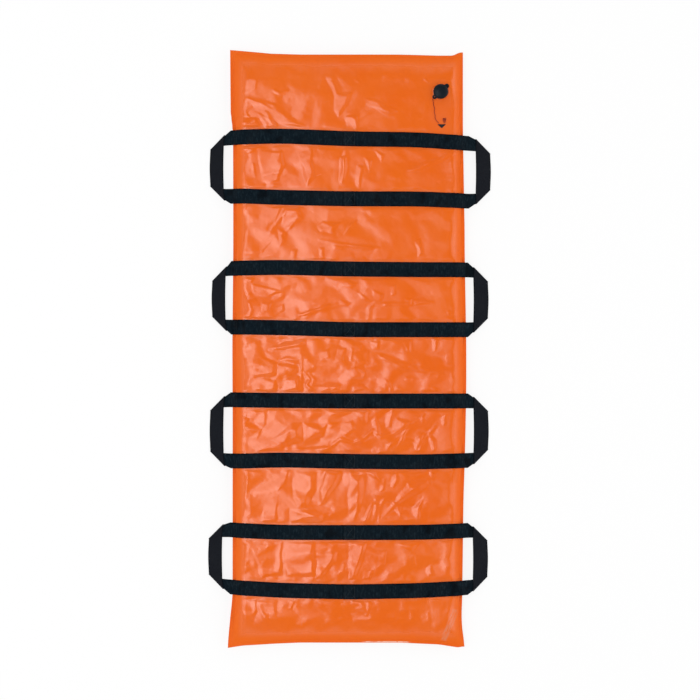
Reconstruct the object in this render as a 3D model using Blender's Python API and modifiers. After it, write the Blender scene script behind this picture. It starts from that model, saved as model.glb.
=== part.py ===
"""Vacuum mattress: a welded bag of beads with four webbing rings, eight carrying handles and a capped valve.

The mattress lies flat. X runs across it, Y runs along it with the valve at the +Y end, and Z is up.
All sizes are in metres.
"""

import math

import bmesh
import bpy
from mathutils import Matrix, Vector

# Clearance between neighbouring pieces, and the distance at which one piece's own points are welded
GAP = 0.0003
MERGE = 0.00001

# Bag: two welded sheets round a bead filling
BAG_HALF_WIDTH = 0.391  # centre line to the weld's outer edge, beside the handles
BAG_HALF_LENGTH = 0.990  # centre line to the weld's outer edge, in the middle of an end
DECK_HEIGHT = 0.055  # floor to the top sheet beside the crown
CROWN_RISE = 0.005  # how far the middle stands above the deck
CROWN_FLAT = 0.090  # half width of the crown's flat top
SHEET = 0.0009  # coated fabric
SEAM_HEIGHT = 0.028  # floor to the joint between the sheets
WELD_WIDTH = 0.010
SIDE_SHOULDER = 0.036  # rounding from the weld in to the flat top, across
END_SHOULDER = 0.075  # the same, along
SHOULDER_STEPS = 4
EAR_ACROSS = 0.005  # how far a corner stands out past the drawn-in side
EAR_ALONG = 0.017  # how far a corner stands out past the drawn-in end
EAR_START = 0.160  # where across the bag an end starts to curve out to its corner
FILL_GAP = 0.0006  # upright gap between the beads and a sheet

# Webbing: four rings, each of two halves that lap on the centre line
WEBBING_WIDTH = 0.050
WEBBING = 0.0024
RING_COUNT = 4
HEAD_MARGIN = 0.385  # bag's head end to the first ring's centre
FOOT_MARGIN = 0.281  # last ring's centre to the bag's foot end
RUN_SPREAD = 0.200  # between the two runs of a ring
LAP = 0.040
LAP_STEP = 0.010  # length over which the upper half climbs onto the lower
STRAIGHT_MARGIN = 0.010  # prismatic part of the bag past the outermost webbing edge

# Handles: flat loops that fold at the weld's edge
HANDLE_REACH = 0.081
HANDLE_CORNER = 0.054  # legs of the folded corners
HANDLE_ROUND_STEPS = 4
HANDLE_ROUND = 0.98  # share of the half thickness that is rounded along the hinge line

# Valve: neck, cap and check valve, measured from the deck
VALVE_INSET = 0.085  # weld's side edge to the valve's axis
VALVE_SETBACK = 0.127  # weld's head edge to the valve's axis
VALVE_MARGIN = 0.009  # flat deck round the weld patch
ROUND_STEPS = 32
PATCH_RADIUS = 0.029
PATCH = 0.0012
NECK_RADIUS = 0.015
NECK_RISE = 0.011
NECK_TAIL = 0.004  # neck below the seat
RIM_CHAMFER = 0.0008
SOCKET_RADIUS = 0.011
SOCKET_DEPTH = 0.011
SEAT_BORE_RADIUS = 0.012  # neck's bore below the socket, which holds the seat
CHAMBER_RADIUS = 0.010
SEAT_HOLE_RADIUS = 0.0075
SEAT = 0.0025
CLAMP_RADIUS = 0.0245
CLAMP = 0.0025
GASKET_RADIUS = 0.0235
GASKET = 0.0010
NUT_RADIUS = 0.0205
NUT_HEIGHT = 0.004
NUT_NOTCHES = 6
NUT_NOTCH = 0.004
NUT_NOTCH_DEPTH = 0.0014

# Check valve inside the neck
BRIDGE = 0.002
BRIDGE_RING = 0.0018
BRIDGE_HUB_RADIUS = 0.0056
SPOKE = 0.0024
SPOKE_COUNT = 3
STEM_RADIUS = 0.0018
KNOB_RADIUS = 0.0034
KNOB_HEIGHT = 0.0034
KNOB_CHAMFER = 0.001
PLATE_RADIUS = 0.0080
PLATE = 0.0015
DISC_RADIUS = 0.0094
DISC = 0.0016
RETAINER_RADIUS = 0.0045
RETAINER_TIP = 0.0027
RETAINER = 0.0014
SPRING_LENGTH = 0.011
SPRING_RADIUS = 0.0045
SPRING_WIRE = 0.0009
SPRING_CURLS = 4
SPRING_CURL_POINTS = 10

# Filter basket round the neck's tail
BASKET_WALL = 0.0012
BASKET_GRIP = 0.005  # overlap with the neck's tail
BASKET_DEPTH = 0.014
BASKET_SLOTS = 8
BASKET_SLOT = 0.003
BASKET_RIM = 0.002

# Cap, its lugs and its tether
CAP_RADIUS = 0.0243
CAP_WALL = 0.0018
CAP_TOP = 0.0038  # thickness over the neck
CAP_SHOULDER = 0.0085  # deck to the top of the cap's straight side
CAP_DOME_STEPS = 6
SEAL_INNER_RADIUS = 0.0112
SEAL = 0.0015
LUG_ANGLE = math.radians(42)
LUG_REACH = 0.034
LUG_WIDTH = 0.012
LUG = 0.0028
EYE_RADIUS = 0.0022
EYE_INSET = 0.0055
TETHER_RADIUS = 0.001
TETHER_POINTS = 18
TETHER_SUBSTEPS = 16  # fine steps between two points of the route
TAB_WIDTH = 0.026
TAB_HEIGHT = 0.014
TAB = 0.0014
TAB_CORNER = 0.0015
TAB_OFFSET = 0.003  # tab's middle, across from the valve's axis
TAB_DROP = 0.1065  # tab's long edge, from the valve's axis towards the foot

# The tether's route over the deck, from the valve's axis, between its two ends
TETHER_ROUTE = [
    (-0.0277, -0.0258, 0.0026),
    (-0.0285, -0.0300, 0.0021),
    (-0.0276, -0.0360, 0.0016),
    (-0.0250, -0.0450, 0.0013),
    (-0.0226, -0.0560, 0.0013),
    (-0.0218, -0.0680, 0.0013),
    (-0.0210, -0.0800, 0.0013),
    (-0.0180, -0.0900, 0.0013),
    (-0.0130, -0.0980, 0.0014),
]
TETHER_END_ACROSS = -0.0070

# Places that follow from the sizes above
VALVE_X = BAG_HALF_WIDTH - VALVE_INSET
VALVE_Y = BAG_HALF_LENGTH - VALVE_SETBACK
CROWN_EDGE = VALVE_X - PATCH_RADIUS - VALVE_MARGIN
RING_PITCH = (2 * BAG_HALF_LENGTH - HEAD_MARGIN - FOOT_MARGIN) / (RING_COUNT - 1)
RING_Y = [BAG_HALF_LENGTH - HEAD_MARGIN - i * RING_PITCH for i in range(RING_COUNT)]
STRAIGHT_Y = max(abs(y) for y in RING_Y) + (RUN_SPREAD + WEBBING_WIDTH) / 2 + STRAIGHT_MARGIN
HINGE_X = BAG_HALF_WIDTH + GAP + WEBBING / 2
HINGE_Z = SEAM_HEIGHT + GAP / 2 + SHEET + GAP + WEBBING / 2

PATCH_TOP = GAP + PATCH
GASKET_TOP = -SHEET - GAP
CLAMP_TOP = GASKET_TOP - GASKET - GAP
BRIDGE_TOP = NECK_RISE - SOCKET_DEPTH
SPRING_TOP = BRIDGE_TOP - BRIDGE - GAP
PLATE_TOP = SPRING_TOP - SPRING_LENGTH - GAP
DISC_TOP = PLATE_TOP - PLATE - GAP
SEAT_TOP = DISC_TOP - DISC - GAP
NECK_BOTTOM = SEAT_TOP - SEAT - NECK_TAIL
BASKET_RADIUS = NECK_RADIUS + GAP + BASKET_WALL
BASKET_BOTTOM = NECK_BOTTOM - BASKET_DEPTH
CAP_BOTTOM = PATCH_TOP + GAP
SEAL_TOP = NECK_RISE + GAP + SEAL
CEILING = SEAL_TOP + GAP


def clear_scene():
    for obj in list(bpy.data.objects):
        bpy.data.objects.remove(obj, do_unlink=True)


def new_collection(name):
    collection = bpy.data.collections.new(name)
    bpy.context.scene.collection.children.link(collection)
    return collection


clear_scene()
PARTS = new_collection("vacuum_mattress")
CUTTERS = new_collection("cutters")


def material(name, colour, roughness, metallic=0.0):
    mat = bpy.data.materials.new(name)
    mat.use_nodes = True
    shader = mat.node_tree.nodes["Principled BSDF"]
    shader.inputs["Base Color"].default_value = (*colour, 1.0)
    shader.inputs["Roughness"].default_value = roughness
    shader.inputs["Metallic"].default_value = metallic
    return mat


ORANGE = (0.84, 0.16, 0.04)
WHITE_BEADS = (0.9, 0.9, 0.88)
BLACK_WEBBING = (0.009, 0.011, 0.014)
BLACK_MOULDING = (0.012, 0.014, 0.017)
BLACK_RUBBER = (0.045, 0.045, 0.045)
NATURAL_PLASTIC = (0.65, 0.65, 0.62)
RED_SILICONE = (0.35, 0.05, 0.03)
SPRING_STEEL = (0.7, 0.7, 0.72)
RED_CORD = (0.25, 0.012, 0.01)


def add_object(name, data, collection=PARTS):
    obj = bpy.data.objects.new(name, data)
    collection.objects.link(obj)
    return obj


def finish(obj, colour, roughness, metallic=0.0, parent=None):
    """Gives a piece its own material and, where it has one, its parent."""
    obj.data.materials.clear()
    obj.data.materials.append(material(obj.name, colour, roughness, metallic))
    if parent:
        obj.parent = parent


def as_cutter(obj):
    obj.hide_render = True
    obj.display_type = "WIRE"
    return obj


def boolean(obj, other, operation):
    mod = obj.modifiers.new(operation.lower(), "BOOLEAN")
    mod.operation = operation
    mod.solver = "EXACT"
    mod.object = other


def turned(name, profile, closed=True, steps=ROUND_STEPS, collection=PARTS):
    """A shape turned about Z from (radius, height) points that run down its outer side."""
    mesh = bpy.data.meshes.new(name)
    count = len(profile)
    edges = [(i, (i + 1) % count) for i in range(count if closed else count - 1)]
    mesh.from_pydata([(r, 0, z) for r, z in profile], edges, [])
    obj = add_object(name, mesh, collection)
    screw = obj.modifiers.new("turn", "SCREW")
    screw.steps = steps
    screw.render_steps = steps
    screw.use_merge_vertices = True
    screw.merge_threshold = MERGE
    screw.use_smooth_shade = True
    return obj


def ring_profile(inner, outer, top, bottom):
    return [(outer, top), (outer, bottom), (inner, bottom), (inner, top)]


def arc(radius, start, end, steps, centre=(0.0, 0.0)):
    """Points on an arc, its ends included."""
    angles = [start + (end - start) * i / steps for i in range(steps + 1)]
    return [(centre[0] + radius * math.cos(a), centre[1] + radius * math.sin(a)) for a in angles]


def flat_outline(name, loops, thickness, collection=PARTS):
    """A flat plate with its middle plane at Z 0, from closed outlines of (x, y) points."""
    curve = bpy.data.curves.new(name, "CURVE")
    curve.dimensions = "2D"
    curve.fill_mode = "BOTH"
    curve.extrude = thickness / 2
    for loop in loops:
        spline = curve.splines.new("POLY")
        spline.points.add(len(loop) - 1)
        for point, (x, y) in zip(spline.points, loop):
            point.co = (x, y, 0, 1)
        spline.use_cyclic_u = True
    return add_object(name, curve, collection)


def to_mesh(obj):
    """Replaces a curve object by a mesh object with welded caps, at the same place."""
    bpy.context.view_layer.update()
    evaluated = obj.evaluated_get(bpy.context.evaluated_depsgraph_get())
    mesh = bpy.data.meshes.new_from_object(evaluated)
    name, place, collection = obj.name, obj.matrix_world.copy(), obj.users_collection[0]
    bpy.data.objects.remove(obj, do_unlink=True)
    bm = bmesh.new()
    bm.from_mesh(mesh)
    bmesh.ops.remove_doubles(bm, verts=bm.verts, dist=MERGE)
    bm.to_mesh(mesh)
    bm.free()
    mesh_obj = add_object(name, mesh, collection)
    mesh_obj.name = name
    mesh_obj.matrix_world = place
    return mesh_obj


# Bag shape

def shoulder(distance, length):
    """Height share of a quarter ellipse, at a distance in from the weld."""
    if distance <= 0:
        return 0.0
    if distance >= length:
        return 1.0
    return math.sqrt(1 - (1 - distance / length) ** 2)


def stations(half, run, length, inner):
    """Grid lines from one edge to the other: the weld, the shoulder's steps and the inner lines."""
    edge = half - run
    steps = [edge - length * (1 - math.cos(k * math.pi / 2 / SHOULDER_STEPS))
             for k in range(SHOULDER_STEPS + 1)]
    positive = [half] + steps + sorted(inner, reverse=True)
    return [-x for x in positive] + [x for x in reversed(positive) if x > 0]


CROWN_MIDDLE = (CROWN_FLAT + CROWN_EDGE) / 2
ACROSS = stations(BAG_HALF_WIDTH, WELD_WIDTH, SIDE_SHOULDER, [CROWN_EDGE, CROWN_MIDDLE, CROWN_FLAT])
ALONG = stations(BAG_HALF_LENGTH, WELD_WIDTH, END_SHOULDER, [STRAIGHT_Y, 0.0])
SHOULDER_TOP_Y = BAG_HALF_LENGTH - WELD_WIDTH - END_SHOULDER


def fullness(x, y):
    """0 on the weld, 1 where both shoulders have reached their full height."""
    across = shoulder(BAG_HALF_WIDTH - WELD_WIDTH - abs(x), SIDE_SHOULDER)
    along = shoulder(BAG_HALF_LENGTH - WELD_WIDTH - abs(y), END_SHOULDER)
    return across * along


def crown(x, y):
    """The middle's rise over the deck, level on top and fading out towards both ends."""
    across = min(max((CROWN_EDGE - abs(x)) / (CROWN_EDGE - CROWN_FLAT), 0), 1)
    along = min(max((SHOULDER_TOP_Y - abs(y)) / (SHOULDER_TOP_Y - STRAIGHT_Y), 0), 1)
    return CROWN_RISE * across * across * (3 - 2 * across) * along


def top_height(x, y):
    """Inner face of the upper sheet."""
    seam = SEAM_HEIGHT + GAP / 2
    return seam + (DECK_HEIGHT - SHEET - seam) * fullness(x, y) + crown(x, y)


def bottom_height(x, y):
    """Inner face of the lower sheet, which lies flat on the floor inside its shoulders."""
    seam = SEAM_HEIGHT - GAP / 2
    return seam - (seam - SHEET) * fullness(x, y)


def plan(x, y):
    """The outline in plan: corners stand out, sides and ends are drawn in between them."""
    along = min(max((abs(y) - STRAIGHT_Y) / (BAG_HALF_LENGTH - STRAIGHT_Y), 0), 1)
    across = min(max((abs(x) - EAR_START) / (BAG_HALF_WIDTH - EAR_START), 0), 1)
    return (x * (1 + EAR_ACROSS / BAG_HALF_WIDTH * along ** 2),
            y + math.copysign(EAR_ALONG * across ** 2 * along, y))


def grid_surface(bm, xs, ys, height):
    """A grid over the stations xs and ys at the given height function; returns its new vertices."""
    grid = bmesh.ops.create_grid(bm, x_segments=len(xs) - 1, y_segments=len(ys) - 1, size=1.0)
    for vert in grid["verts"]:
        x = xs[round((vert.co.x + 1) / 2 * (len(xs) - 1))]
        y = ys[round((vert.co.y + 1) / 2 * (len(ys) - 1))]
        vert.co = (*plan(x, y), height(x, y))
    return grid["verts"]


def solidify(obj, thickness):
    """Thickens an open surface to the side that its faces point to."""
    mod = obj.modifiers.new("thickness", "SOLIDIFY")
    mod.thickness = thickness
    mod.offset = 1.0
    mod.use_even_offset = True
    return mod


def sheet_piece(name, height, faces_down):
    bm = bmesh.new()
    grid_surface(bm, ACROSS, ALONG, height)
    if faces_down:
        bmesh.ops.reverse_faces(bm, faces=bm.faces)
    mesh = bpy.data.meshes.new(name)
    bm.to_mesh(mesh)
    bm.free()
    mesh.shade_smooth()
    obj = add_object(name, mesh)
    solidify(obj, SHEET)
    return obj


def bead_filling():
    """The beads: the space between the sheets, inside the weld, with a pocket round the valve."""
    xs, ys = ACROSS[2:-2], ALONG[2:-2]
    bm = bmesh.new()
    grid_surface(bm, xs, ys, lambda x, y: top_height(x, y) - FILL_GAP)
    lower = set(grid_surface(bm, xs, ys, lambda x, y: bottom_height(x, y) + FILL_GAP))
    bmesh.ops.reverse_faces(bm, faces=[f for f in bm.faces if set(f.verts) <= lower])
    rims = [e for e in bm.edges if e.is_boundary]
    bmesh.ops.bridge_loops(bm, edges=rims)
    bmesh.ops.recalc_face_normals(bm, faces=bm.faces)
    mesh = bpy.data.meshes.new("bead_fill")
    bm.to_mesh(mesh)
    bm.free()
    mesh.shade_smooth()
    return add_object("bead_fill", mesh)


# Webbing

def offset_profile(points, distance):
    """A polyline of (x, z) points moved to its left side by a distance, with mitred corners."""
    directions = [(Vector(b) - Vector(a)).normalized() for a, b in zip(points, points[1:])]
    normals = [Vector((-d.y, d.x)) for d in directions]
    moved = []
    for i, point in enumerate(points):
        before, after = normals[max(i - 1, 0)], normals[min(i, len(normals) - 1)]
        mitre = (before + after).normalized()
        moved.append(Vector(point) + mitre * distance / mitre.dot(after))
    return [tuple(p) for p in moved]


def bag_section():
    """The upper sheet's inner face across the bag, as (x, z) points from left to right."""
    return [(x, top_height(x, 0.0)) for x in ACROSS]


def run_section(side, over):
    """A half ring's underside from its lapped end to the weld's edge, in order of rising x."""
    top = offset_profile(bag_section(), SHEET + GAP)
    outer = [(x, z) for x, z in top if side * x > LAP]
    level = top_height(0.0, 0.0) + SHEET + GAP
    if over:
        raised = level + WEBBING + GAP
        start = side * (LAP / 2 + GAP + WEBBING / 2)
        lap = [(-side * LAP / 2, raised), (start, raised), (start + side * LAP_STEP, level)]
    else:
        lap = [(-side * LAP / 2, level)]
    points = lap + (outer if side > 0 else outer[::-1])
    return points if side > 0 else points[::-1]


def ribbon_mesh(name, points):
    """A strip of webbing of full width that follows the (x, z) points, its faces up."""
    bm = bmesh.new()
    grid = bmesh.ops.create_grid(bm, x_segments=len(points) - 1, y_segments=1, size=1.0)
    for vert in grid["verts"]:
        x, z = points[round((vert.co.x + 1) / 2 * (len(points) - 1))]
        vert.co = (x, vert.co.y * WEBBING_WIDTH / 2, z)
    mesh = bpy.data.meshes.new(name)
    bm.to_mesh(mesh)
    bm.free()
    return mesh


def handle_mesh():
    """A flat loop, its hinge line along Y through the origin and its grip out at +X."""
    outer = (RUN_SPREAD + WEBBING_WIDTH) / 2
    inner = (RUN_SPREAD - WEBBING_WIDTH) / 2
    start = -WEBBING / 2
    grip = HANDLE_REACH - WEBBING_WIDTH
    corner = HANDLE_REACH - HANDLE_CORNER
    outline = [
        (start, -outer), (corner, -outer), (HANDLE_REACH, -outer + HANDLE_CORNER),
        (HANDLE_REACH, outer - HANDLE_CORNER), (corner, outer), (start, outer),
        (start, inner), (grip, inner), (grip, -inner), (start, -inner),
    ]
    obj = to_mesh(flat_outline("handle_blank", [outline], WEBBING))
    bm = bmesh.new()
    bm.from_mesh(obj.data)
    hinge_edges = [e for e in bm.edges
                   if all(abs(v.co.x - start) < MERGE for v in e.verts)
                   and abs(e.verts[0].co.z - e.verts[1].co.z) < MERGE]
    bmesh.ops.bevel(bm, geom=hinge_edges, offset=WEBBING / 2 * HANDLE_ROUND,
                    segments=HANDLE_ROUND_STEPS, profile=0.5, affect="EDGES")
    mesh = bpy.data.meshes.new("handle")
    bm.to_mesh(mesh)
    bm.free()
    bpy.data.objects.remove(obj, do_unlink=True)
    return mesh


def handle_droop():
    """Angle below level at which a handle's outer edge comes down to the floor."""
    half = WEBBING / 2
    reach = math.hypot(HANDLE_REACH, half)
    return math.asin((HINGE_Z - GAP) / reach) - math.atan2(half, HANDLE_REACH)


def webbing_pieces():
    sides = {"left": -1, "right": 1}
    runs = {name: ribbon_mesh(f"run_{name}", run_section(side, over=side > 0))
            for name, side in sides.items()}
    loop = handle_mesh()
    for ring, centre in enumerate(RING_Y, start=1):
        for name, side in sides.items():
            for end, shift in (("head", RUN_SPREAD / 2), ("foot", -RUN_SPREAD / 2)):
                run = add_object(f"webbing_{ring}_{end}_{name}", runs[name].copy())
                run.location = (0, centre + shift, 0)
                solidify(run, WEBBING)
                finish(run, BLACK_WEBBING, 0.75)
            handle = add_object(f"handle_{ring}_{name}", loop.copy())
            handle.location = (side * HINGE_X, centre, HINGE_Z)
            handle.rotation_euler = (0, handle_droop(), 0 if side > 0 else math.pi)
            finish(handle, BLACK_WEBBING, 0.75)


# Valve

def valve_body(parent):
    """The neck: a flanged tube with the hose socket at its top and a wider bore for the seat below."""
    step = BRIDGE_TOP - BRIDGE
    body = turned("valve_body", [
        (NECK_RADIUS - RIM_CHAMFER, NECK_RISE),
        (NECK_RADIUS, NECK_RISE - RIM_CHAMFER),
        (NECK_RADIUS, CLAMP_TOP),
        (CLAMP_RADIUS, CLAMP_TOP),
        (CLAMP_RADIUS, CLAMP_TOP - CLAMP),
        (NECK_RADIUS, CLAMP_TOP - CLAMP),
        (NECK_RADIUS, NECK_BOTTOM),
        (SEAT_BORE_RADIUS, NECK_BOTTOM),
        (SEAT_BORE_RADIUS, step),
        (SOCKET_RADIUS, step),
        (SOCKET_RADIUS, NECK_RISE),
    ])
    finish(body, BLACK_MOULDING, 0.4, parent=parent)


def valve_seat(parent):
    """The insert that is pushed up into the neck: it carries the bridge and holds the seat."""
    outer, top = SEAT_BORE_RADIUS - GAP, BRIDGE_TOP - BRIDGE - GAP
    seat = turned("valve_seat", [
        (outer, top),
        (outer, NECK_BOTTOM),
        (CHAMBER_RADIUS, NECK_BOTTOM),
        (CHAMBER_RADIUS, SEAT_TOP - SEAT),
        (SEAT_HOLE_RADIUS, SEAT_TOP - SEAT),
        (SEAT_HOLE_RADIUS, SEAT_TOP),
        (CHAMBER_RADIUS, SEAT_TOP),
        (CHAMBER_RADIUS, top),
    ])
    finish(seat, BLACK_MOULDING, 0.4, parent=parent)


def valve_rings(parent):
    """The welded patch and the nut above the sheet, and the gasket below it."""
    inner = NECK_RADIUS + GAP
    patch = turned("weld_patch", [
        (PATCH_RADIUS - PATCH / 2, PATCH_TOP), (PATCH_RADIUS, PATCH_TOP - PATCH / 2),
        (PATCH_RADIUS, GAP), (inner, GAP), (inner, PATCH_TOP),
    ])
    finish(patch, ORANGE, 0.35, parent=parent)

    nut_bottom = PATCH_TOP + GAP
    nut = turned("ring_nut", ring_profile(inner, NUT_RADIUS, nut_bottom + NUT_HEIGHT, nut_bottom))
    bm = bmesh.new()
    for i in range(NUT_NOTCHES):
        turn = Matrix.Rotation(2 * math.pi * i / NUT_NOTCHES, 4, "Z")
        place = Matrix.Translation((NUT_RADIUS, 0, nut_bottom + NUT_HEIGHT / 2))
        size = Matrix.Diagonal((2 * NUT_NOTCH_DEPTH, NUT_NOTCH, NUT_HEIGHT * 2, 1))
        bmesh.ops.create_cube(bm, size=1.0, matrix=turn @ place @ size)
    mesh = bpy.data.meshes.new("nut_notches")
    bm.to_mesh(mesh)
    bm.free()
    notches = as_cutter(add_object("nut_notches", mesh, CUTTERS))
    notches.parent = parent
    boolean(nut, notches, "DIFFERENCE")
    finish(nut, BLACK_MOULDING, 0.45, parent=parent)

    gasket = turned("neck_gasket", ring_profile(inner, GASKET_RADIUS, GASKET_TOP, GASKET_TOP - GASKET))
    finish(gasket, BLACK_RUBBER, 0.8, parent=parent)


def stem_bridge(parent):
    """A flat spider that guides the stem: a ring, a hub and spokes, all one plate."""
    ring_outer = SOCKET_RADIUS - GAP
    ring_inner = ring_outer - BRIDGE_RING
    loops = [
        arc(ring_outer, 0, 2 * math.pi, ROUND_STEPS)[:-1],
        arc(STEM_RADIUS + GAP, 0, 2 * math.pi, 12)[:-1],
    ]
    for i in range(SPOKE_COUNT):
        start = 2 * math.pi * i / SPOKE_COUNT
        end = 2 * math.pi * (i + 1) / SPOKE_COUNT
        far, near = math.asin(SPOKE / 2 / ring_inner), math.asin(SPOKE / 2 / BRIDGE_HUB_RADIUS)
        loops.append(arc(ring_inner, start + far, end - far, 7)
                     + arc(BRIDGE_HUB_RADIUS, end - near, start + near, 5))
    bridge = flat_outline("stem_bridge", loops, BRIDGE)
    bridge.location = (0, 0, BRIDGE_TOP - BRIDGE / 2)
    finish(bridge, NATURAL_PLASTIC, 0.5, parent=parent)


def check_valve(parent):
    """The lifting poppet, its silicone disc and the spring that holds them down on the seat."""
    knob_bottom = BRIDGE_TOP + GAP
    knob_top = knob_bottom + KNOB_HEIGHT
    groove_bottom = DISC_TOP - DISC - GAP
    poppet = turned("poppet", [
        (0, knob_top), (KNOB_RADIUS - KNOB_CHAMFER, knob_top), (KNOB_RADIUS, knob_top - KNOB_CHAMFER),
        (KNOB_RADIUS, knob_bottom), (STEM_RADIUS, knob_bottom),
        (STEM_RADIUS, PLATE_TOP), (PLATE_RADIUS, PLATE_TOP), (PLATE_RADIUS, PLATE_TOP - PLATE),
        (STEM_RADIUS, PLATE_TOP - PLATE), (STEM_RADIUS, groove_bottom),
        (RETAINER_RADIUS, groove_bottom), (RETAINER_TIP, groove_bottom - RETAINER),
        (0, groove_bottom - RETAINER),
    ], closed=False, steps=24)
    finish(poppet, NATURAL_PLASTIC, 0.45, parent=parent)

    disc = turned("check_disc", ring_profile(STEM_RADIUS + GAP, DISC_RADIUS, DISC_TOP, DISC_TOP - DISC))
    finish(disc, RED_SILICONE, 0.6, parent=parent)


def helix_points():
    """The spring's centre line, down between the bridge and the poppet's plate."""
    wire = SPRING_WIRE / 2
    top, bottom = SPRING_TOP - wire, SPRING_TOP - SPRING_LENGTH + wire
    count = SPRING_CURLS * SPRING_CURL_POINTS
    return [Vector((SPRING_RADIUS * math.cos(2 * math.pi * i / SPRING_CURL_POINTS),
                    SPRING_RADIUS * math.sin(2 * math.pi * i / SPRING_CURL_POINTS),
                    top + (bottom - top) * i / count)) for i in range(count + 1)]


def least_gap(points, diameter, skip):
    """Least space between turns of a tube, measured on points that are at least skip apart."""
    return min((points[i] - points[j]).length
               for i in range(len(points)) for j in range(i + skip, len(points))) - diameter


def tube(name, points, radius, resolution):
    curve = bpy.data.curves.new(name, "CURVE")
    curve.dimensions = "3D"
    curve.bevel_depth = radius
    curve.bevel_resolution = resolution
    curve.use_fill_caps = True
    spline = curve.splines.new("POLY")
    spline.points.add(len(points) - 1)
    for target, point in zip(spline.points, points):
        target.co = (*point, 1)
    return add_object(name, curve)


def return_spring(parent):
    points = helix_points()
    half_curl = SPRING_CURL_POINTS // 2
    print("spring's least gap to itself, mm:",
          round(least_gap(points, SPRING_WIRE, half_curl) * 1000, 2))
    spring = tube("return_spring", points, SPRING_WIRE / 2, 1)
    finish(spring, SPRING_STEEL, 0.25, 1.0, parent=parent)


def filter_basket(parent):
    """A slotted cup round the neck's tail, which keeps the beads in."""
    top = NECK_BOTTOM + BASKET_GRIP
    basket = turned("filter_basket", [
        (BASKET_RADIUS, top), (BASKET_RADIUS, BASKET_BOTTOM), (0, BASKET_BOTTOM),
        (0, BASKET_BOTTOM + BASKET_WALL), (BASKET_RADIUS - BASKET_WALL, BASKET_BOTTOM + BASKET_WALL),
        (BASKET_RADIUS - BASKET_WALL, top),
    ])
    slot_top = NECK_BOTTOM - BASKET_RIM
    slot_bottom = BASKET_BOTTOM + BASKET_WALL + BASKET_RIM
    bm = bmesh.new()
    for i in range(BASKET_SLOTS):
        turn = Matrix.Rotation(2 * math.pi * (i + 0.5) / BASKET_SLOTS, 4, "Z")
        place = Matrix.Translation((BASKET_RADIUS, 0, (slot_top + slot_bottom) / 2))
        size = Matrix.Diagonal((BASKET_WALL * 4, BASKET_SLOT, slot_top - slot_bottom, 1))
        bmesh.ops.create_cube(bm, size=1.0, matrix=turn @ place @ size)
    mesh = bpy.data.meshes.new("basket_slots")
    bm.to_mesh(mesh)
    bm.free()
    slots = as_cutter(add_object("basket_slots", mesh, CUTTERS))
    slots.parent = parent
    boolean(basket, slots, "DIFFERENCE")
    finish(basket, NATURAL_PLASTIC, 0.5, parent=parent)


def valve_pocket(parent):
    """The room that the valve's inner end takes in the beads."""
    step = CLAMP_TOP - CLAMP - GAP
    wide, narrow = CLAMP_RADIUS + GAP, BASKET_RADIUS + GAP
    pocket = turned("valve_pocket", [
        (0, DECK_HEIGHT / 4), (wide, DECK_HEIGHT / 4), (wide, step), (narrow, step),
        (narrow, BASKET_BOTTOM - GAP), (0, BASKET_BOTTOM - GAP),
    ], closed=False, collection=CUTTERS)
    pocket.parent = parent
    return as_cutter(pocket)


def valve_hole(parent):
    hole = turned("valve_hole", [
        (0, DECK_HEIGHT / 4), (NECK_RADIUS + GAP, DECK_HEIGHT / 4),
        (NECK_RADIUS + GAP, CLAMP_TOP), (0, CLAMP_TOP),
    ], closed=False, collection=CUTTERS)
    hole.parent = parent
    return as_cutter(hole)


# Cap and tether

def lug_outline(half_width, reach):
    """A bar with round ends through the cap's axis, along the lugs' line."""
    ends = reach - half_width
    bar = (arc(half_width, -math.pi / 2, math.pi / 2, 8, (ends, 0))
           + arc(half_width, math.pi / 2, 3 * math.pi / 2, 8, (-ends, 0)))
    eye = arc(EYE_RADIUS, 0, 2 * math.pi, 12, (-(reach - EYE_INSET), 0))[:-1]
    return [bar, eye]


def cap(parent):
    """A rubber dome with two lugs, hollow over the neck and the nut."""
    dome_rise = CEILING + CAP_TOP - CAP_SHOULDER
    dome = [(CAP_RADIUS * math.sin(a), CAP_SHOULDER + dome_rise * math.cos(a))
            for a in (k * math.pi / 2 / CAP_DOME_STEPS for k in range(CAP_DOME_STEPS + 1))]
    body = turned("valve_cap", dome + [(CAP_RADIUS, CAP_BOTTOM), (0, CAP_BOTTOM)], closed=False)

    bar = to_mesh(flat_outline("cap_lugs", lug_outline(LUG_WIDTH / 2, LUG_REACH), LUG, CUTTERS))
    bar.location = (0, 0, CAP_BOTTOM + LUG / 2)
    bar.rotation_euler = (0, 0, LUG_ANGLE)
    bar.parent = parent
    boolean(body, as_cutter(bar), "UNION")

    inner = CAP_RADIUS - CAP_WALL
    hollow = turned("cap_hollow", [
        (0, CEILING), (NECK_RADIUS + CAP_WALL, CEILING), (inner, CAP_SHOULDER),
        (inner, CAP_BOTTOM - LUG), (0, CAP_BOTTOM - LUG),
    ], closed=False, collection=CUTTERS)
    hollow.parent = parent
    boolean(body, as_cutter(hollow), "DIFFERENCE")
    finish(body, BLACK_MOULDING, 0.5, parent=parent)

    seal = turned("cap_seal", ring_profile(SEAL_INNER_RADIUS, NECK_RADIUS, SEAL_TOP, SEAL_TOP - SEAL))
    finish(seal, BLACK_RUBBER, 0.8, parent=parent)


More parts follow.
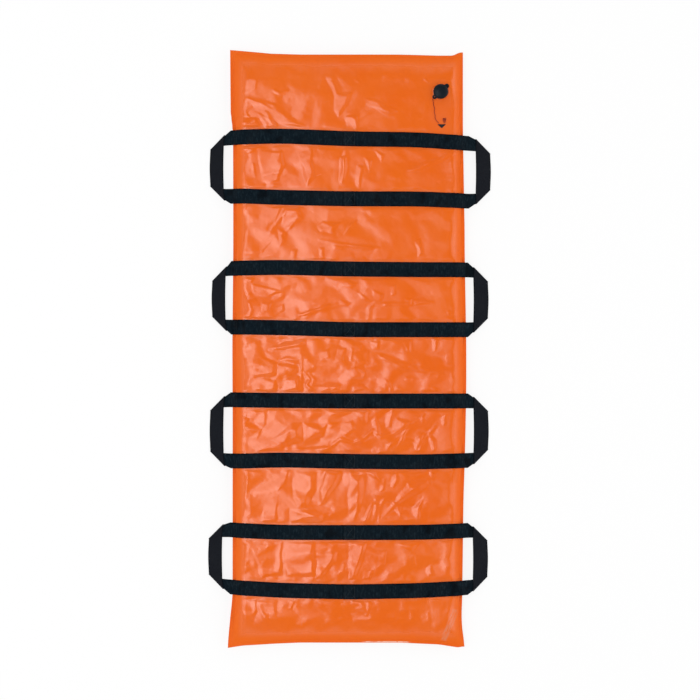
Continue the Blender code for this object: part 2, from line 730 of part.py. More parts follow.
def smooth_route(points, count):
    """Evenly spaced points on a smooth curve through the given ones."""
    ends = [points[0] * 2 - points[1]] + points + [points[-1] * 2 - points[-2]]
    fine = []
    for a, b, c, d in zip(ends, ends[1:], ends[2:], ends[3:]):
        for i in range(TETHER_SUBSTEPS):
            t = i / TETHER_SUBSTEPS
            fine.append(0.5 * (b * 2 + (c - a) * t + (a * 2 - b * 5 + c * 4 - d) * t ** 2
                               + (b * 3 - a - c * 3 + d) * t ** 3))
    fine.append(points[-1])
    lengths = [0.0]
    for a, b in zip(fine, fine[1:]):
        lengths.append(lengths[-1] + (b - a).length)
    route, j = [], 0
    for i in range(count):
        target = lengths[-1] * i / (count - 1)
        while j < len(fine) - 2 and lengths[j + 1] < target:
            j += 1
        share = (target - lengths[j]) / (lengths[j + 1] - lengths[j])
        route.append(fine[j].lerp(fine[j + 1], share))
    print("tether's length, mm:", round(lengths[-1] * 1000, 1))
    return route


def tether(parent):
    """A thin cord from the lug with the eye to the tab that is welded to the deck."""
    lug_end = -(LUG_REACH + GAP)
    start = Vector((lug_end * math.cos(LUG_ANGLE), lug_end * math.sin(LUG_ANGLE), CAP_BOTTOM + LUG / 2))
    end = Vector((TETHER_END_ACROSS, -TAB_DROP + GAP, GAP + TETHER_RADIUS))
    points = [start] + [Vector(p) for p in TETHER_ROUTE] + [end]
    cord = tube("tether_cord", smooth_route(points, TETHER_POINTS), TETHER_RADIUS, 2)
    finish(cord, RED_CORD, 0.7, parent=parent)


def tether_tab(parent):
    """A triangle with rounded corners that points to the foot end."""
    corners = [Vector((-TAB_WIDTH / 2, 0)), Vector((TAB_WIDTH / 2, 0)), Vector((0, -TAB_HEIGHT))]
    outline = []
    for i, corner in enumerate(corners):
        before, after = corners[i - 1], corners[(i + 1) % 3]
        cut_in = corner + (before - corner).normalized() * 2 * TAB_CORNER
        cut_out = corner + (after - corner).normalized() * 2 * TAB_CORNER
        outline += [tuple((cut_in.lerp(corner, t)).lerp(corner.lerp(cut_out, t), t)) for t in (0, 0.5, 1)]
    tab = flat_outline("tether_tab", [outline], TAB)
    tab.location = (TAB_OFFSET, -TAB_DROP, GAP + TAB / 2)
    finish(tab, BLACK_WEBBING, 0.7, parent=parent)


def valve():
    axis = bpy.data.objects.new("valve_axis", None)
    PARTS.objects.link(axis)
    axis.location = (VALVE_X, VALVE_Y, DECK_HEIGHT)
    valve_body(axis)
    valve_seat(axis)
    valve_rings(axis)
    stem_bridge(axis)
    check_valve(axis)
    return_spring(axis)
    filter_basket(axis)
    cap(axis)
    tether(axis)
    tether_tab(axis)
    return axis


def bag(axis):
    upper = sheet_piece("upper_sheet", top_height, faces_down=False)
    boolean(upper, valve_hole(axis), "DIFFERENCE")
    finish(upper, ORANGE, 0.3)
    lower = sheet_piece("lower_sheet", bottom_height, faces_down=True)
    finish(lower, ORANGE, 0.3)
    beads = bead_filling()
    boolean(beads, valve_pocket(axis), "DIFFERENCE")
    finish(beads, WHITE_BEADS, 0.9)


bag(valve())
webbing_pieces()
print("handle droop, degrees:", round(math.degrees(handle_droop()), 2))
print("hinge axis, mm:", round(HINGE_X * 1000, 2), round(HINGE_Z * 1000, 2))
print("ring centres, mm:", [round(y * 1000, 1) for y in RING_Y])
print("valve axis, mm:", round(VALVE_X * 1000, 1), round(VALVE_Y * 1000, 1))
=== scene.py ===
# %% [markdown]
# # A rescue vacuum mattress, dressed in Blender
#
# The real thing is a flat bag of coated orange fabric, half filled with small beads. Eight lengths of
# black webbing cross it and turn back past its edges as carrying handles. In one corner sits a valve
# under a rubber cap: a pump sucks the air out through it, and the bag sets hard round the patient.
#
# This script dresses a finished set of solids, the frame. The frame says where every piece is, and what
# is made here goes on the same places with a finer surface and a real finish.

# %% Load the frame
import math

import bmesh
import bpy
import numpy as np
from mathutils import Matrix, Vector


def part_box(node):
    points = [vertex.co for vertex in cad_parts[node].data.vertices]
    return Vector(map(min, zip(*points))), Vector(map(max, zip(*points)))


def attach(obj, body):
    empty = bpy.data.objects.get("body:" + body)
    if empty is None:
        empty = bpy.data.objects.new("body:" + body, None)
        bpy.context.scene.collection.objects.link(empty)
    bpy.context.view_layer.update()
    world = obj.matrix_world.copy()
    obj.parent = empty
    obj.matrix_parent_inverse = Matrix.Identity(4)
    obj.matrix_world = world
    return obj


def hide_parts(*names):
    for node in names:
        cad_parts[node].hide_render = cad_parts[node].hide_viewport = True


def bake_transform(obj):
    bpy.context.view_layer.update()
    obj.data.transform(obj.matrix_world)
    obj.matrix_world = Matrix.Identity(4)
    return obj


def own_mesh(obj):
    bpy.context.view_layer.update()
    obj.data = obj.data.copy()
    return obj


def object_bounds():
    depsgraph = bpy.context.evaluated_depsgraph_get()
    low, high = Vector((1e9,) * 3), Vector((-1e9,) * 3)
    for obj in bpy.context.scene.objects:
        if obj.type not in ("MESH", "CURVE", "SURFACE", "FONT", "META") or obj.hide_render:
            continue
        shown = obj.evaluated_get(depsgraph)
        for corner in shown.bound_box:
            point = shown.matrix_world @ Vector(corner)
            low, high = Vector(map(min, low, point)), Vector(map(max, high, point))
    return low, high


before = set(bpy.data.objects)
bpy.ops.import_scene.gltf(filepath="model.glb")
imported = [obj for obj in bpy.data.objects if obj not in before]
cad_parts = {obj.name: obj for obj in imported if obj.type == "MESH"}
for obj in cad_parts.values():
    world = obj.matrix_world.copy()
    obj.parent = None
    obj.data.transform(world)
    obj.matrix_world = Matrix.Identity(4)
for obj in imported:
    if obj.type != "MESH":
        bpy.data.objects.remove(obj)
cad_low, cad_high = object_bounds()

# %% [markdown]
# ## Where the camera stands
#
# The photograph looks straight down. A long lens from far above does the same. The camera is made first,
# because the facets' slopes follow from where it stands.

# %% Camera
PICTURE_WIDTH = 2.341  # metres of floor across the picture
CAMERA_OVER = (0.002, -0.003)
LENS, SENSOR = 135, 36  # millimetres

camera_data = bpy.data.cameras.new("camera")
camera_data.lens, camera_data.sensor_width = LENS, SENSOR
camera_data.clip_end = 100
camera = bpy.data.objects.new("camera", camera_data)
camera.location = (*CAMERA_OVER, cad_high.z + PICTURE_WIDTH * LENS / SENSOR)
bpy.context.scene.collection.objects.link(camera)
bpy.context.scene.camera = camera
print("camera height, m:", round(camera.location.z, 2))

# %% [markdown]
# ## From arrays to meshes
#
# Every new surface here is a grid: a formula gives the point for each pair of its two parameters, and
# these helpers join the points into faces.


# %% Mesh helpers
def grid_faces(rows, columns, close_rows=False, close_columns=False, start=0):
    """Corner numbers of the faces of a grid of points, rows by columns, numbered along the rows from start.
    A closed direction joins its last line back to its first."""
    number = start + np.arange(rows * columns).reshape(rows, columns)
    if close_rows:
        number = np.vstack([number, number[:1]])
    if close_columns:
        number = np.hstack([number, number[:, :1]])
    corners = [number[:-1, :-1], number[:-1, 1:], number[1:, 1:], number[1:, :-1]]
    return np.stack(corners, -1).reshape(-1, 4)


def new_piece(name, points, faces, uv=None, smooth=True):
    """A mesh object from points, faces as lists of corner numbers and, where given, a UV pair for each
    point. Its faces are turned to point outwards."""
    mesh = bpy.data.meshes.new(name)
    mesh.from_pydata(np.asarray(points, float).reshape(-1, 3).tolist(), [], [list(f) for f in faces])
    shape = bmesh.new()
    shape.from_mesh(mesh)
    bmesh.ops.recalc_face_normals(shape, faces=shape.faces)
    shape.to_mesh(mesh)
    shape.free()
    if uv is not None:
        corners = np.zeros(len(mesh.loops), np.int32)
        mesh.loops.foreach_get("vertex_index", corners)
        layer = mesh.uv_layers.new(name="along")
        layer.data.foreach_set("uv", np.asarray(uv, np.float32).reshape(-1, 2)[corners].ravel())
    if smooth:
        mesh.shade_smooth()
    piece = bpy.data.objects.new(name, mesh)
    bpy.context.scene.collection.objects.link(piece)
    return piece


def paint(piece, name, values):
    """Stores one number for each point of a piece, which its material can read."""
    attribute = piece.data.attributes.new(name, "FLOAT", "POINT")
    attribute.data.foreach_set("value", np.asarray(values, np.float32).ravel())


def ease(t):
    """0 below 0, 1 above 1, and a smooth step between."""
    t = np.clip(t, 0, 1)
    return t * t * (3 - 2 * t)


NOISE_TABLE = 256  # random numbers along each side of a lattice, which repeats past them


def lattice_corners(i, j, seed):
    """Random numbers from -1 to 1 on the four corners of a square lattice's cells, row by row."""
    table = np.random.default_rng(seed).uniform(-1, 1, (NOISE_TABLE, NOISE_TABLE))
    return [table[(j + up) % NOISE_TABLE, (i + right) % NOISE_TABLE] for up in (0, 1) for right in (0, 1)]


def value_noise(x, y, cell, seed):
    """Smooth random heights from -1 to 1: random numbers on a square lattice, eased between them."""
    u, v = np.asarray(x) / cell, np.asarray(y) / cell
    i, j = np.floor(u).astype(int), np.floor(v).astype(int)
    s, t = ease(u - i), ease(v - j)
    near_left, near_right, far_left, far_right = lattice_corners(i, j, seed)
    near = near_left * (1 - s) + near_right * s
    far = far_left * (1 - s) + far_right * s
    return near * (1 - t) + far * t


# %% [markdown]
# ## Nodes without the mouse
#
# A material is a small program. The helper below adds one node, sets it up and links its inputs in one
# line, so that each material reads from its pattern to its shader.


# %% Node helpers
def add_node(tree, kind, inputs=None, **settings):
    """Adds a node. An input is a value to set or another node's output to link."""
    node = tree.nodes.new(kind)
    for key, value in settings.items():
        setattr(node, key, value)
    for key, value in (inputs or {}).items():
        if isinstance(value, bpy.types.NodeSocket):
            tree.links.new(value, node.inputs[key])
        else:
            node.inputs[key].default_value = value
    return node


def axes_of(tree, vector):
    return add_node(tree, "ShaderNodeSeparateXYZ", {0: vector}).outputs


def math_node(tree, operation, a, b=0.0, clamp=False):
    return add_node(tree, "ShaderNodeMath", {0: a, 1: b}, operation=operation, use_clamp=clamp).outputs[0]


def times(tree, a, b):
    return math_node(tree, "MULTIPLY", a, b)


def plus(tree, a, b, clamp=False):
    return math_node(tree, "ADD", a, b, clamp)


def ramp(tree, value, low, high, start=0.0, end=1.0):
    """Maps a value from low..high to start..end, eased, and holds it outside."""
    inputs = {"Value": value, "From Min": low, "From Max": high, "To Min": start, "To Max": end}
    return add_node(tree, "ShaderNodeMapRange", inputs, interpolation_type="SMOOTHSTEP").outputs["Result"]


def four(colour):
    """A colour with its fourth number, or the socket that gives one."""
    return colour if isinstance(colour, bpy.types.NodeSocket) else (*colour, 1)


def mix_colour(tree, mask, first, second):
    inputs = {0: mask, 6: four(first), 7: four(second)}
    return add_node(tree, "ShaderNodeMix", inputs, data_type="RGBA").outputs[2]


def noise(tree, where, scale, detail=3.0, roughness=0.5):
    inputs = {"Vector": where, "Scale": scale, "Detail": detail, "Roughness": roughness}
    return add_node(tree, "ShaderNodeTexNoise", inputs).outputs["Fac"]


SOCKETS = {"metallic": "Metallic", "specular": "Specular IOR Level"}


def new_material(name, **sockets):
    """An empty material: returns it, its tree, its shader and the Object coordinates."""
    mat = bpy.data.materials.new(name)
    mat.use_nodes = True
    tree = mat.node_tree
    shader = tree.nodes["Principled BSDF"]
    for key, value in sockets.items():
        shader.inputs[SOCKETS[key]].default_value = value
    place = add_node(tree, "ShaderNodeTexCoord").outputs["Object"]
    return mat, tree, shader, place


def dress(piece, mat):
    """Gives a piece its material."""
    piece.data.materials.clear()
    piece.data.materials.append(mat)


# %% [markdown]
# ## Two effects that several finishes share
#
# Moulded and coated surfaces have a fine grain, and everything that is carried about has a little uneven
# dust. Both are node groups, built once and set differently in each material.


# %% Shared node groups
def new_group(name, inputs, outputs):
    group = bpy.data.node_groups.new(name, "ShaderNodeTree")
    for label, kind, value in inputs:
        socket = group.interface.new_socket(name=label, in_out="INPUT", socket_type=kind)
        if value is not None:
            socket.default_value = value
    for label, kind in outputs:
        group.interface.new_socket(name=label, in_out="OUTPUT", socket_type=kind)
    return group, group.nodes.new("NodeGroupInput").outputs, group.nodes.new("NodeGroupOutput").inputs


GRIT_FINER, PITS_SHARE = 3.1, 0.7
PATCHY = (0.42, 0.72)  # the noise at which a patch of dust starts and is full


def grain_group():
    """Fine bumps: coarse pits and fine grit, as one height from 0 to 1."""
    group, inside, out = new_group(
        "fine_grain",
        [("Place", "NodeSocketVector", None), ("Size", "NodeSocketFloat", 900.0)],
        [("Height", "NodeSocketFloat")])
    pits = noise(group, inside["Place"], inside["Size"], 2.0)
    grit = noise(group, inside["Place"], times(group, inside["Size"], GRIT_FINER), 1.0)
    mixed = plus(group, times(group, pits, PITS_SHARE), times(group, grit, 1 - PITS_SHARE))
    group.links.new(mixed, out["Height"])
    return group


def dust_group():
    """A colour that pales in soft uneven patches."""
    group, inside, out = new_group(
        "uneven_dust",
        [("Place", "NodeSocketVector", None), ("Colour", "NodeSocketColor", None),
         ("Dust", "NodeSocketColor", None), ("Size", "NodeSocketFloat", 12.0),
         ("Amount", "NodeSocketFloat", 0.1)],
        [("Colour", "NodeSocketColor")])
    broad = noise(group, inside["Place"], inside["Size"], 5.0, 0.6)
    share = times(group, ramp(group, broad, *PATCHY), inside["Amount"])
    group.links.new(mix_colour(group, share, inside["Colour"], inside["Dust"]), out["Colour"])
    return group


FINE_GRAIN, UNEVEN_DUST = grain_group(), dust_group()


def grain(tree, place, size):
    inputs = {"Place": place, "Size": size}
    return add_node(tree, "ShaderNodeGroup", inputs, node_tree=FINE_GRAIN).outputs["Height"]


def dusted(tree, place, colour, dust, size, amount):
    inputs = {"Place": place, "Size": size, "Amount": amount, "Colour": four(colour), "Dust": four(dust)}
    return add_node(tree, "ShaderNodeGroup", inputs, node_tree=UNEVEN_DUST).outputs["Colour"]


def bump(tree, shader, height, depth):
    """Feeds a height from 0 to 1, which stands for a depth in metres, to the shader's normal."""
    node = add_node(tree, "ShaderNodeBump", {"Height": height, "Distance": depth, "Strength": 1.0})
    tree.links.new(node.outputs["Normal"], shader.inputs["Normal"])


def woven_group():
    """Plain weave: rows shifted by half a cell, and a cell is a half wave along times one across."""
    group, inside, out = new_group(
        "woven",
        [("Place", "NodeSocketVector", None), ("Along", "NodeSocketFloat", 400.0),
         ("Across", "NodeSocketFloat", 500.0)],
        [("Height", "NodeSocketFloat")])
    axes = axes_of(group, inside["Place"])
    rows = times(group, axes["Y"], inside["Across"])
    parity = math_node(group, "FLOORED_MODULO", math_node(group, "FLOOR", rows), 2.0)
    shift = times(group, parity, 0.5)
    cells = plus(group, times(group, axes["X"], inside["Along"]), shift)
    waves = [math_node(group, "SINE", times(group, math_node(group, "FRACT", value), math.pi))
             for value in (rows, cells)]
    group.links.new(times(group, *waves), out["Height"])
    return group


WOVEN = woven_group()


def weave(tree, place, along, across):
    inputs = {"Place": place, "Along": along, "Across": across}
    return add_node(tree, "ShaderNodeGroup", inputs, node_tree=WOVEN).outputs["Height"]


print("node groups:", FINE_GRAIN.name, UNEVEN_DUST.name, WOVEN.name)

# %% [markdown]
# ## The bag's sizes
#
# The bag is two sheets welded round their rim, so its edge is a flat band at half height and each sheet
# climbs from it over a rounded shoulder. These are the frame's own sizes, and the places of the straps
# and the valve are read from it.

# %% Bag sizes
GAP = 0.0003  # between neighbours that touch
SHEET = 0.0009  # coated fabric
HALF_WIDTH, HALF_LENGTH = 0.391, 0.990
WELD = 0.010  # the flat band's width
SIDE_SHOULDER, END_SHOULDER = 0.036, 0.075  # how far in the sheet goes on rising
SEAM = 0.028  # height of the joint between the sheets
CROWN_RISE, CROWN_FLAT, CROWN_EDGE = 0.005, 0.090, 0.268  # the middle's rise, and where it is full and gone
STRAIGHT_Y = 0.844  # the crown keeps its full rise up to here
WEBBING_WIDTH, WEBBING = 0.050, 0.0024
RUN_OFFSET = 0.100  # a ring's centre to the middle of each of its two runs


def middle(node):
    low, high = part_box(node)
    return (low + high) / 2


RING_Y = [middle(f"handle_{ring}_left").y for ring in range(1, 5)]
VALVE_X, VALVE_Y = middle("valve_body").x, middle("valve_body").y
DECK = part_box("weld_patch")[0].z - GAP
print("deck height, m:", round(DECK, 4), " valve at:", round(VALVE_X, 3), round(VALVE_Y, 3))

# %% [markdown]
# ## The outline in the photograph
#
# A bag of beads is never a true rectangle: its sides draw in where it is full, and its corners stand out.
# The outline below gives where each edge lies: straight between its points, and rounded by an average.

# %% Outline and plan
LEFT_EDGE = [(-1.000, -0.4095), (-0.965, -0.4075), (-0.905, -0.4005), (-0.868, -0.3975), (-0.838, -0.3928),
             (-0.555, -0.3926), (-0.200, -0.3926), (0.013, -0.3935), (0.331, -0.3905), (0.465, -0.3905),
             (0.752, -0.3912), (0.770, -0.3990), (1.006, -0.401)]
RIGHT_EDGE = [(-0.990, 0.3886), (-0.965, 0.383), (-0.905, 0.376), (-0.856, 0.379), (-0.505, 0.3835),
              (-0.421, 0.3865), (-0.270, 0.3905), (-0.120, 0.393), (0.013, 0.393), (0.331, 0.3875),
              (0.398, 0.3875), (0.739, 0.3815), (1.006, 0.3815)]
HEAD_EDGE = [(-0.399, 1.006), (-0.299, 0.9965), (-0.265, 0.993), (-0.165, 0.990), (0.170, 0.990),
             (0.300, 0.9865), (0.353, 0.9865), (0.378, 0.997)]
FOOT_EDGE = [(-0.403, -1.0065), (-0.350, -0.9965), (-0.250, -0.990), (-0.165, -0.9865), (0.170, -0.9865),
             (0.303, -0.993), (0.370, -1.003), (0.380, -1.000)]
SIDE_SPREAD, END_SPREAD = 0.025, 0.006  # reach of the average to each side
PLAN_START_X, PLAN_START_Y = 0.240, 0.870  # nearer the middle than this, the plan is true


def along_edge(points, where, spread):
    """Value of an edge at a place: straight between its points, then the mean over a stretch."""
    at, value = np.array(points).T
    return np.mean([np.interp(where + shift, at, value) for shift in (-spread, 0, spread)], axis=0)


def plan(x, y):
    """Moves a rectangle's points to the outline, with the square of the way out to the edge."""
    side = np.clip((abs(x) - PLAN_START_X) / (HALF_WIDTH - PLAN_START_X), 0, 1) ** 2
    end = np.clip((abs(y) - PLAN_START_Y) / (HALF_LENGTH - PLAN_START_Y), 0, 1) ** 2
    edge_x = np.where(x < 0, along_edge(LEFT_EDGE, y, SIDE_SPREAD) + HALF_WIDTH,
                      along_edge(RIGHT_EDGE, y, SIDE_SPREAD) - HALF_WIDTH)
    edge_y = np.where(y < 0, along_edge(FOOT_EDGE, x, END_SPREAD) + HALF_LENGTH,
                      along_edge(HEAD_EDGE, x, END_SPREAD) - HALF_LENGTH)
    return x + side * edge_x, y + end * edge_y


def shoulder(distance, length):
    """Height share of a quarter ellipse, at a distance in from the weld."""
    t = np.clip(distance / length, 0, 1)
    return np.sqrt(1 - (1 - t) ** 2)


def fullness(x, y):
    """0 on the weld, 1 where both shoulders have reached their full height."""
    return (shoulder(HALF_WIDTH - WELD - abs(x), SIDE_SHOULDER)
            * shoulder(HALF_LENGTH - WELD - abs(y), END_SHOULDER))


def crown(x, y):
    """The middle's rise over the deck: level on top, eased down across and straight down to the ends."""
    along = np.clip((HALF_LENGTH - WELD - END_SHOULDER - abs(y))
                    / (HALF_LENGTH - WELD - END_SHOULDER - STRAIGHT_Y), 0, 1)
    return CROWN_RISE * ease((CROWN_EDGE - abs(x)) / (CROWN_EDGE - CROWN_FLAT)) * ease(along)


print("plan of the head end's left corner, m:", [round(float(v), 3) for v in plan(-HALF_WIDTH, HALF_LENGTH)])

# %% [markdown]
# ## Where the straps run
#
# Each of the eight runs sways a few millimetres, as the photograph shows. A strap lies on the deck, leaves
# the shoulder along a tangent and comes down to the weld's edge, past which it is a handle. The webbing
# and the fabric under it use this one line, so they agree.

# %% Strap lines
SWAY_AT = (-0.383, -0.232, 0.002, 0.236, 0.377)
SWAY = {  # metres towards the head, at those places
    (1, "head"): (0.005, 0.009, -0.001, -0.004, -0.014),
    (1, "foot"): (0.009, 0.003, -0.002, -0.002, -0.008),
    (2, "head"): (0.004, 0.007, 0.001, -0.001, -0.001),
    (2, "foot"): (0.007, 0.005, -0.002, -0.002, -0.002),
    (3, "head"): (0.001, -0.001, -0.003, -0.003, -0.003),
    (3, "foot"): (-0.005, 0.000, -0.005, -0.007, -0.003),
    (4, "head"): (0.002, -0.005, -0.005, -0.005, 0.000),
    (4, "foot"): (0.010, 0.001, -0.004, 0.000, 0.008),
}
SWAY_SPREAD = 0.040
RUNS = list(SWAY)
STRAP_EDGE = HALF_WIDTH + GAP  # where a run ends and its handle starts
HINGE_Z = SEAM + GAP / 2 + SHEET + GAP + WEBBING / 2
HALVINGS = 40
COVER_MARGIN, COVER_FADE = 0.001, 0.011  # how a strap's hold on the fabric ends beside it


def strap_y(run, x):
    """Middle of a run at x: its ring's centre, half the ring's spread to its own end, and its sway."""
    ring, end = run
    offset = RUN_OFFSET if end == "head" else -RUN_OFFSET
    return RING_Y[ring - 1] + offset + along_edge(list(zip(SWAY_AT, SWAY[run])), x, SWAY_SPREAD)


def shoulder_tangent():
    """Angle down the side's quarter ellipse whose tangent meets the weld's edge, found by halving."""
    rise = DECK - (SEAM + GAP / 2 + SHEET)
    far = STRAP_EDGE - (HALF_WIDTH - WELD - SIDE_SHOULDER)
    low, high = 0.0, math.pi / 2
    for _ in range(HALVINGS):
        angle = (low + high) / 2
        if SIDE_SHOULDER * rise > far * rise * math.sin(angle) + GAP * SIDE_SHOULDER * math.cos(angle):
            low = angle
        else:
            high = angle
    return low


TANGENT = shoulder_tangent()
TANGENT_X = HALF_WIDTH - WELD - SIDE_SHOULDER + SIDE_SHOULDER * math.sin(TANGENT)


def strap_under(x):
    """Height of a strap's underside at x: over the crown and deck, down the shoulder to the tangent's
    start, then straight to the weld's edge."""
    x = abs(np.asarray(x, float))
    base = SEAM + GAP / 2 + SHEET
    deck = base + (DECK - base) * shoulder(HALF_WIDTH - WELD - x, SIDE_SHOULDER) + crown(x, 0.0) + GAP
    start = base + (DECK - base) * math.cos(TANGENT) + GAP
    slope = (base + GAP - start) / (STRAP_EDGE - TANGENT_X)
    return np.where(x < TANGENT_X, deck, start + slope * (x - TANGENT_X))


def strap_distance(x, y):
    """How far a place is from the middle line of the nearest strap."""
    return np.min([abs(y - strap_y(run, x)) for run in RUNS], axis=0)


def strap_cover(x, y, fade=COVER_FADE):
    """1 under a strap, easing to 0 a given way from its edge. The way varies along the strap by noise."""
    uneven = fade * (1 + 0.6 * value_noise(x, y, 0.045, 6))
    return 1 - ease((strap_distance(x, y) - WEBBING_WIDTH / 2 - COVER_MARGIN) / uneven)


print("straps leave the shoulder at x, m:", round(TANGENT_X, 4))

# %% [markdown]
# ## The sheet's wrinkles, by simulation
#
# The sheet is cut larger than the beads need, and the spare fabric lies in wrinkles. A cloth simulation
# makes them: the sheet grows by up to a few hundredths, most where the photograph is most creased, while
# the weld and the straps hold it. Gravity is off, because the beads carry the sheet.

# %% Cloth simulation
CLOTH_STEP = 0.008
CLOTH_FRAMES = 25
CLOTH_GROWTH = 0.03
STRAP_HOLD_HALF = 0.022  # half width of the band that a strap holds
HELD_BY_WELD, HELD_BY_STRAP, HELD_BY_BEADS = 1.0, 0.9, 0.1
SLACK_ALONG = [(-0.97, 0.5), (-0.88, 0.6), (-0.70, 0.65), (-0.50, 0.75), (-0.27, 0.65), (-0.12, 1.0),
               (0.02, 1.0), (0.16, 0.45), (0.38, 0.30), (0.60, 0.26), (0.80, 0.26), (0.97, 0.2)]
SLACK_ACROSS = [(-0.39, 1.0), (0.05, 1.0), (0.20, 0.75), (0.30, 0.35), (0.39, 0.2)]
LEAST_SLACK = 0.05


def vertex_weights(piece, name, weights):
    group = piece.vertex_groups.new(name=name)
    for index, weight in enumerate(weights.ravel().tolist()):
        group.add([index], weight, "REPLACE")
    return group.name


def slackness(x, y):
    """How loose the sheet is at a place, from 0 to 1, as the photograph shows it creased."""
    return np.interp(y, *np.array(SLACK_ALONG).T) * np.interp(x, *np.array(SLACK_ACROSS).T)


def simulated_wrinkles(x, y):
    """Heights of a flat grid of cloth after it has grown between its held lines."""
    start = 0.0006 * value_noise(x, y, 0.03, 1) + 0.0004 * value_noise(x, y, 0.015, 2)
    piece = new_piece("wrinkle_cloth", np.stack([x, y, start], -1), grid_faces(*x.shape))
    edge = np.minimum(HALF_WIDTH - abs(x), HALF_LENGTH - abs(y))
    hold = np.where(strap_distance(x, y) < STRAP_HOLD_HALF, HELD_BY_STRAP, HELD_BY_BEADS)
    hold = np.where(edge < CLOTH_STEP, HELD_BY_WELD, hold)
    uneven = 1 + 0.5 * value_noise(x, y, 0.15, 3) + 0.3 * value_noise(x, y, 0.07, 4)
    slack = np.clip(slackness(x, y) * uneven, LEAST_SLACK, 1)
    cloth = piece.modifiers.new("cloth", "CLOTH")
    settings = cloth.settings
    settings.quality = 5
    settings.mass = 0.3
    settings.tension_stiffness = settings.compression_stiffness = 30
    settings.shear_stiffness = 5
    settings.bending_stiffness = 6
    settings.tension_damping = settings.compression_damping = settings.shear_damping = 5
    settings.air_damping = 1
    settings.vertex_group_mass = vertex_weights(piece, "hold", hold)
    settings.pin_stiffness = 1.0
    settings.vertex_group_shrink = vertex_weights(piece, "tight", 1 - slack)
    settings.shrink_min = -CLOTH_GROWTH
    settings.shrink_max = 0.0
    settings.effector_weights.gravity = 0
    cloth.point_cache.frame_end = CLOTH_FRAMES
    scene = bpy.context.scene
    for frame_number in range(1, CLOTH_FRAMES + 1):
        scene.frame_set(frame_number)
    settled = piece.evaluated_get(bpy.context.evaluated_depsgraph_get())
    points = np.zeros(x.size * 3, np.float32)
    settled.data.vertices.foreach_get("co", points)
    bpy.data.objects.remove(piece, do_unlink=True)
    scene.frame_set(1)
    return points.reshape(*x.shape, 3)[..., 2].astype(float)


cloth_x = np.linspace(-HALF_WIDTH, HALF_WIDTH, round(2 * HALF_WIDTH / CLOTH_STEP) + 1)
cloth_y = np.linspace(-HALF_LENGTH, HALF_LENGTH, round(2 * HALF_LENGTH / CLOTH_STEP) + 1)
CLOTH = simulated_wrinkles(*np.meshgrid(cloth_x, cloth_y))
print("wrinkles' spread, mm:", round(float(CLOTH.std()) * 1000, 2))

# %% [markdown]
# ## The facets and folds that can be recognised
#
# A simulation makes plausible wrinkles, but not these ones. A coated sheet creases into flat facets, and
# a facet turns pale where it mirrors the light panel. Each pale facet in the photograph is laid here as an
# outline, and its slope follows from where the camera and the panel are. Thin creases follow as ridges,
# and faint random facets fill in between.

# %% Facets and folds laid one by one
MM_PER_PIXEL = 3.344
MIDDLE_PIXEL = (349.4, 349.0)  # the pixel over the frame's origin
KEY_OVER, KEY_WIDTH, KEY_HEIGHT = (-3.44, -0.2), 5.0, 8.0  # the main light's middle, width and height
KEY_EDGE = KEY_OVER[0] + KEY_WIDTH / 2
AIM_FROM, AIM_REACH = 0.50, 1.20  # aim 0 mirrors a place this far inside the panel's edge, aim 1 this much on
FLANK = 0.30  # slope of a facet's other sides
WAVER, WAVER_CELL = 0.0035, 0.030  # how far a facet's edge strays, and over what length
LEAN = 0.05  # most that a facet's slope differs along the bag
FACET_MARGIN = 0.004
FOLD_END_DROP = 0.5  # share of its rise that a fold has lost at its ends
LATTICE_STRAY, LATTICE_STRAY_CELL, LATTICE_TURN = 0.4, 1.3, (0.86, 0.5)  # in cells, and as cosine and sine
CRINKLES = ((0.0020, 0.070, 81), (0.0010, 0.030, 85))  # rise, cell and seed of the faint facets
UNEVENNESS = (0.00015, 0.009, 21)

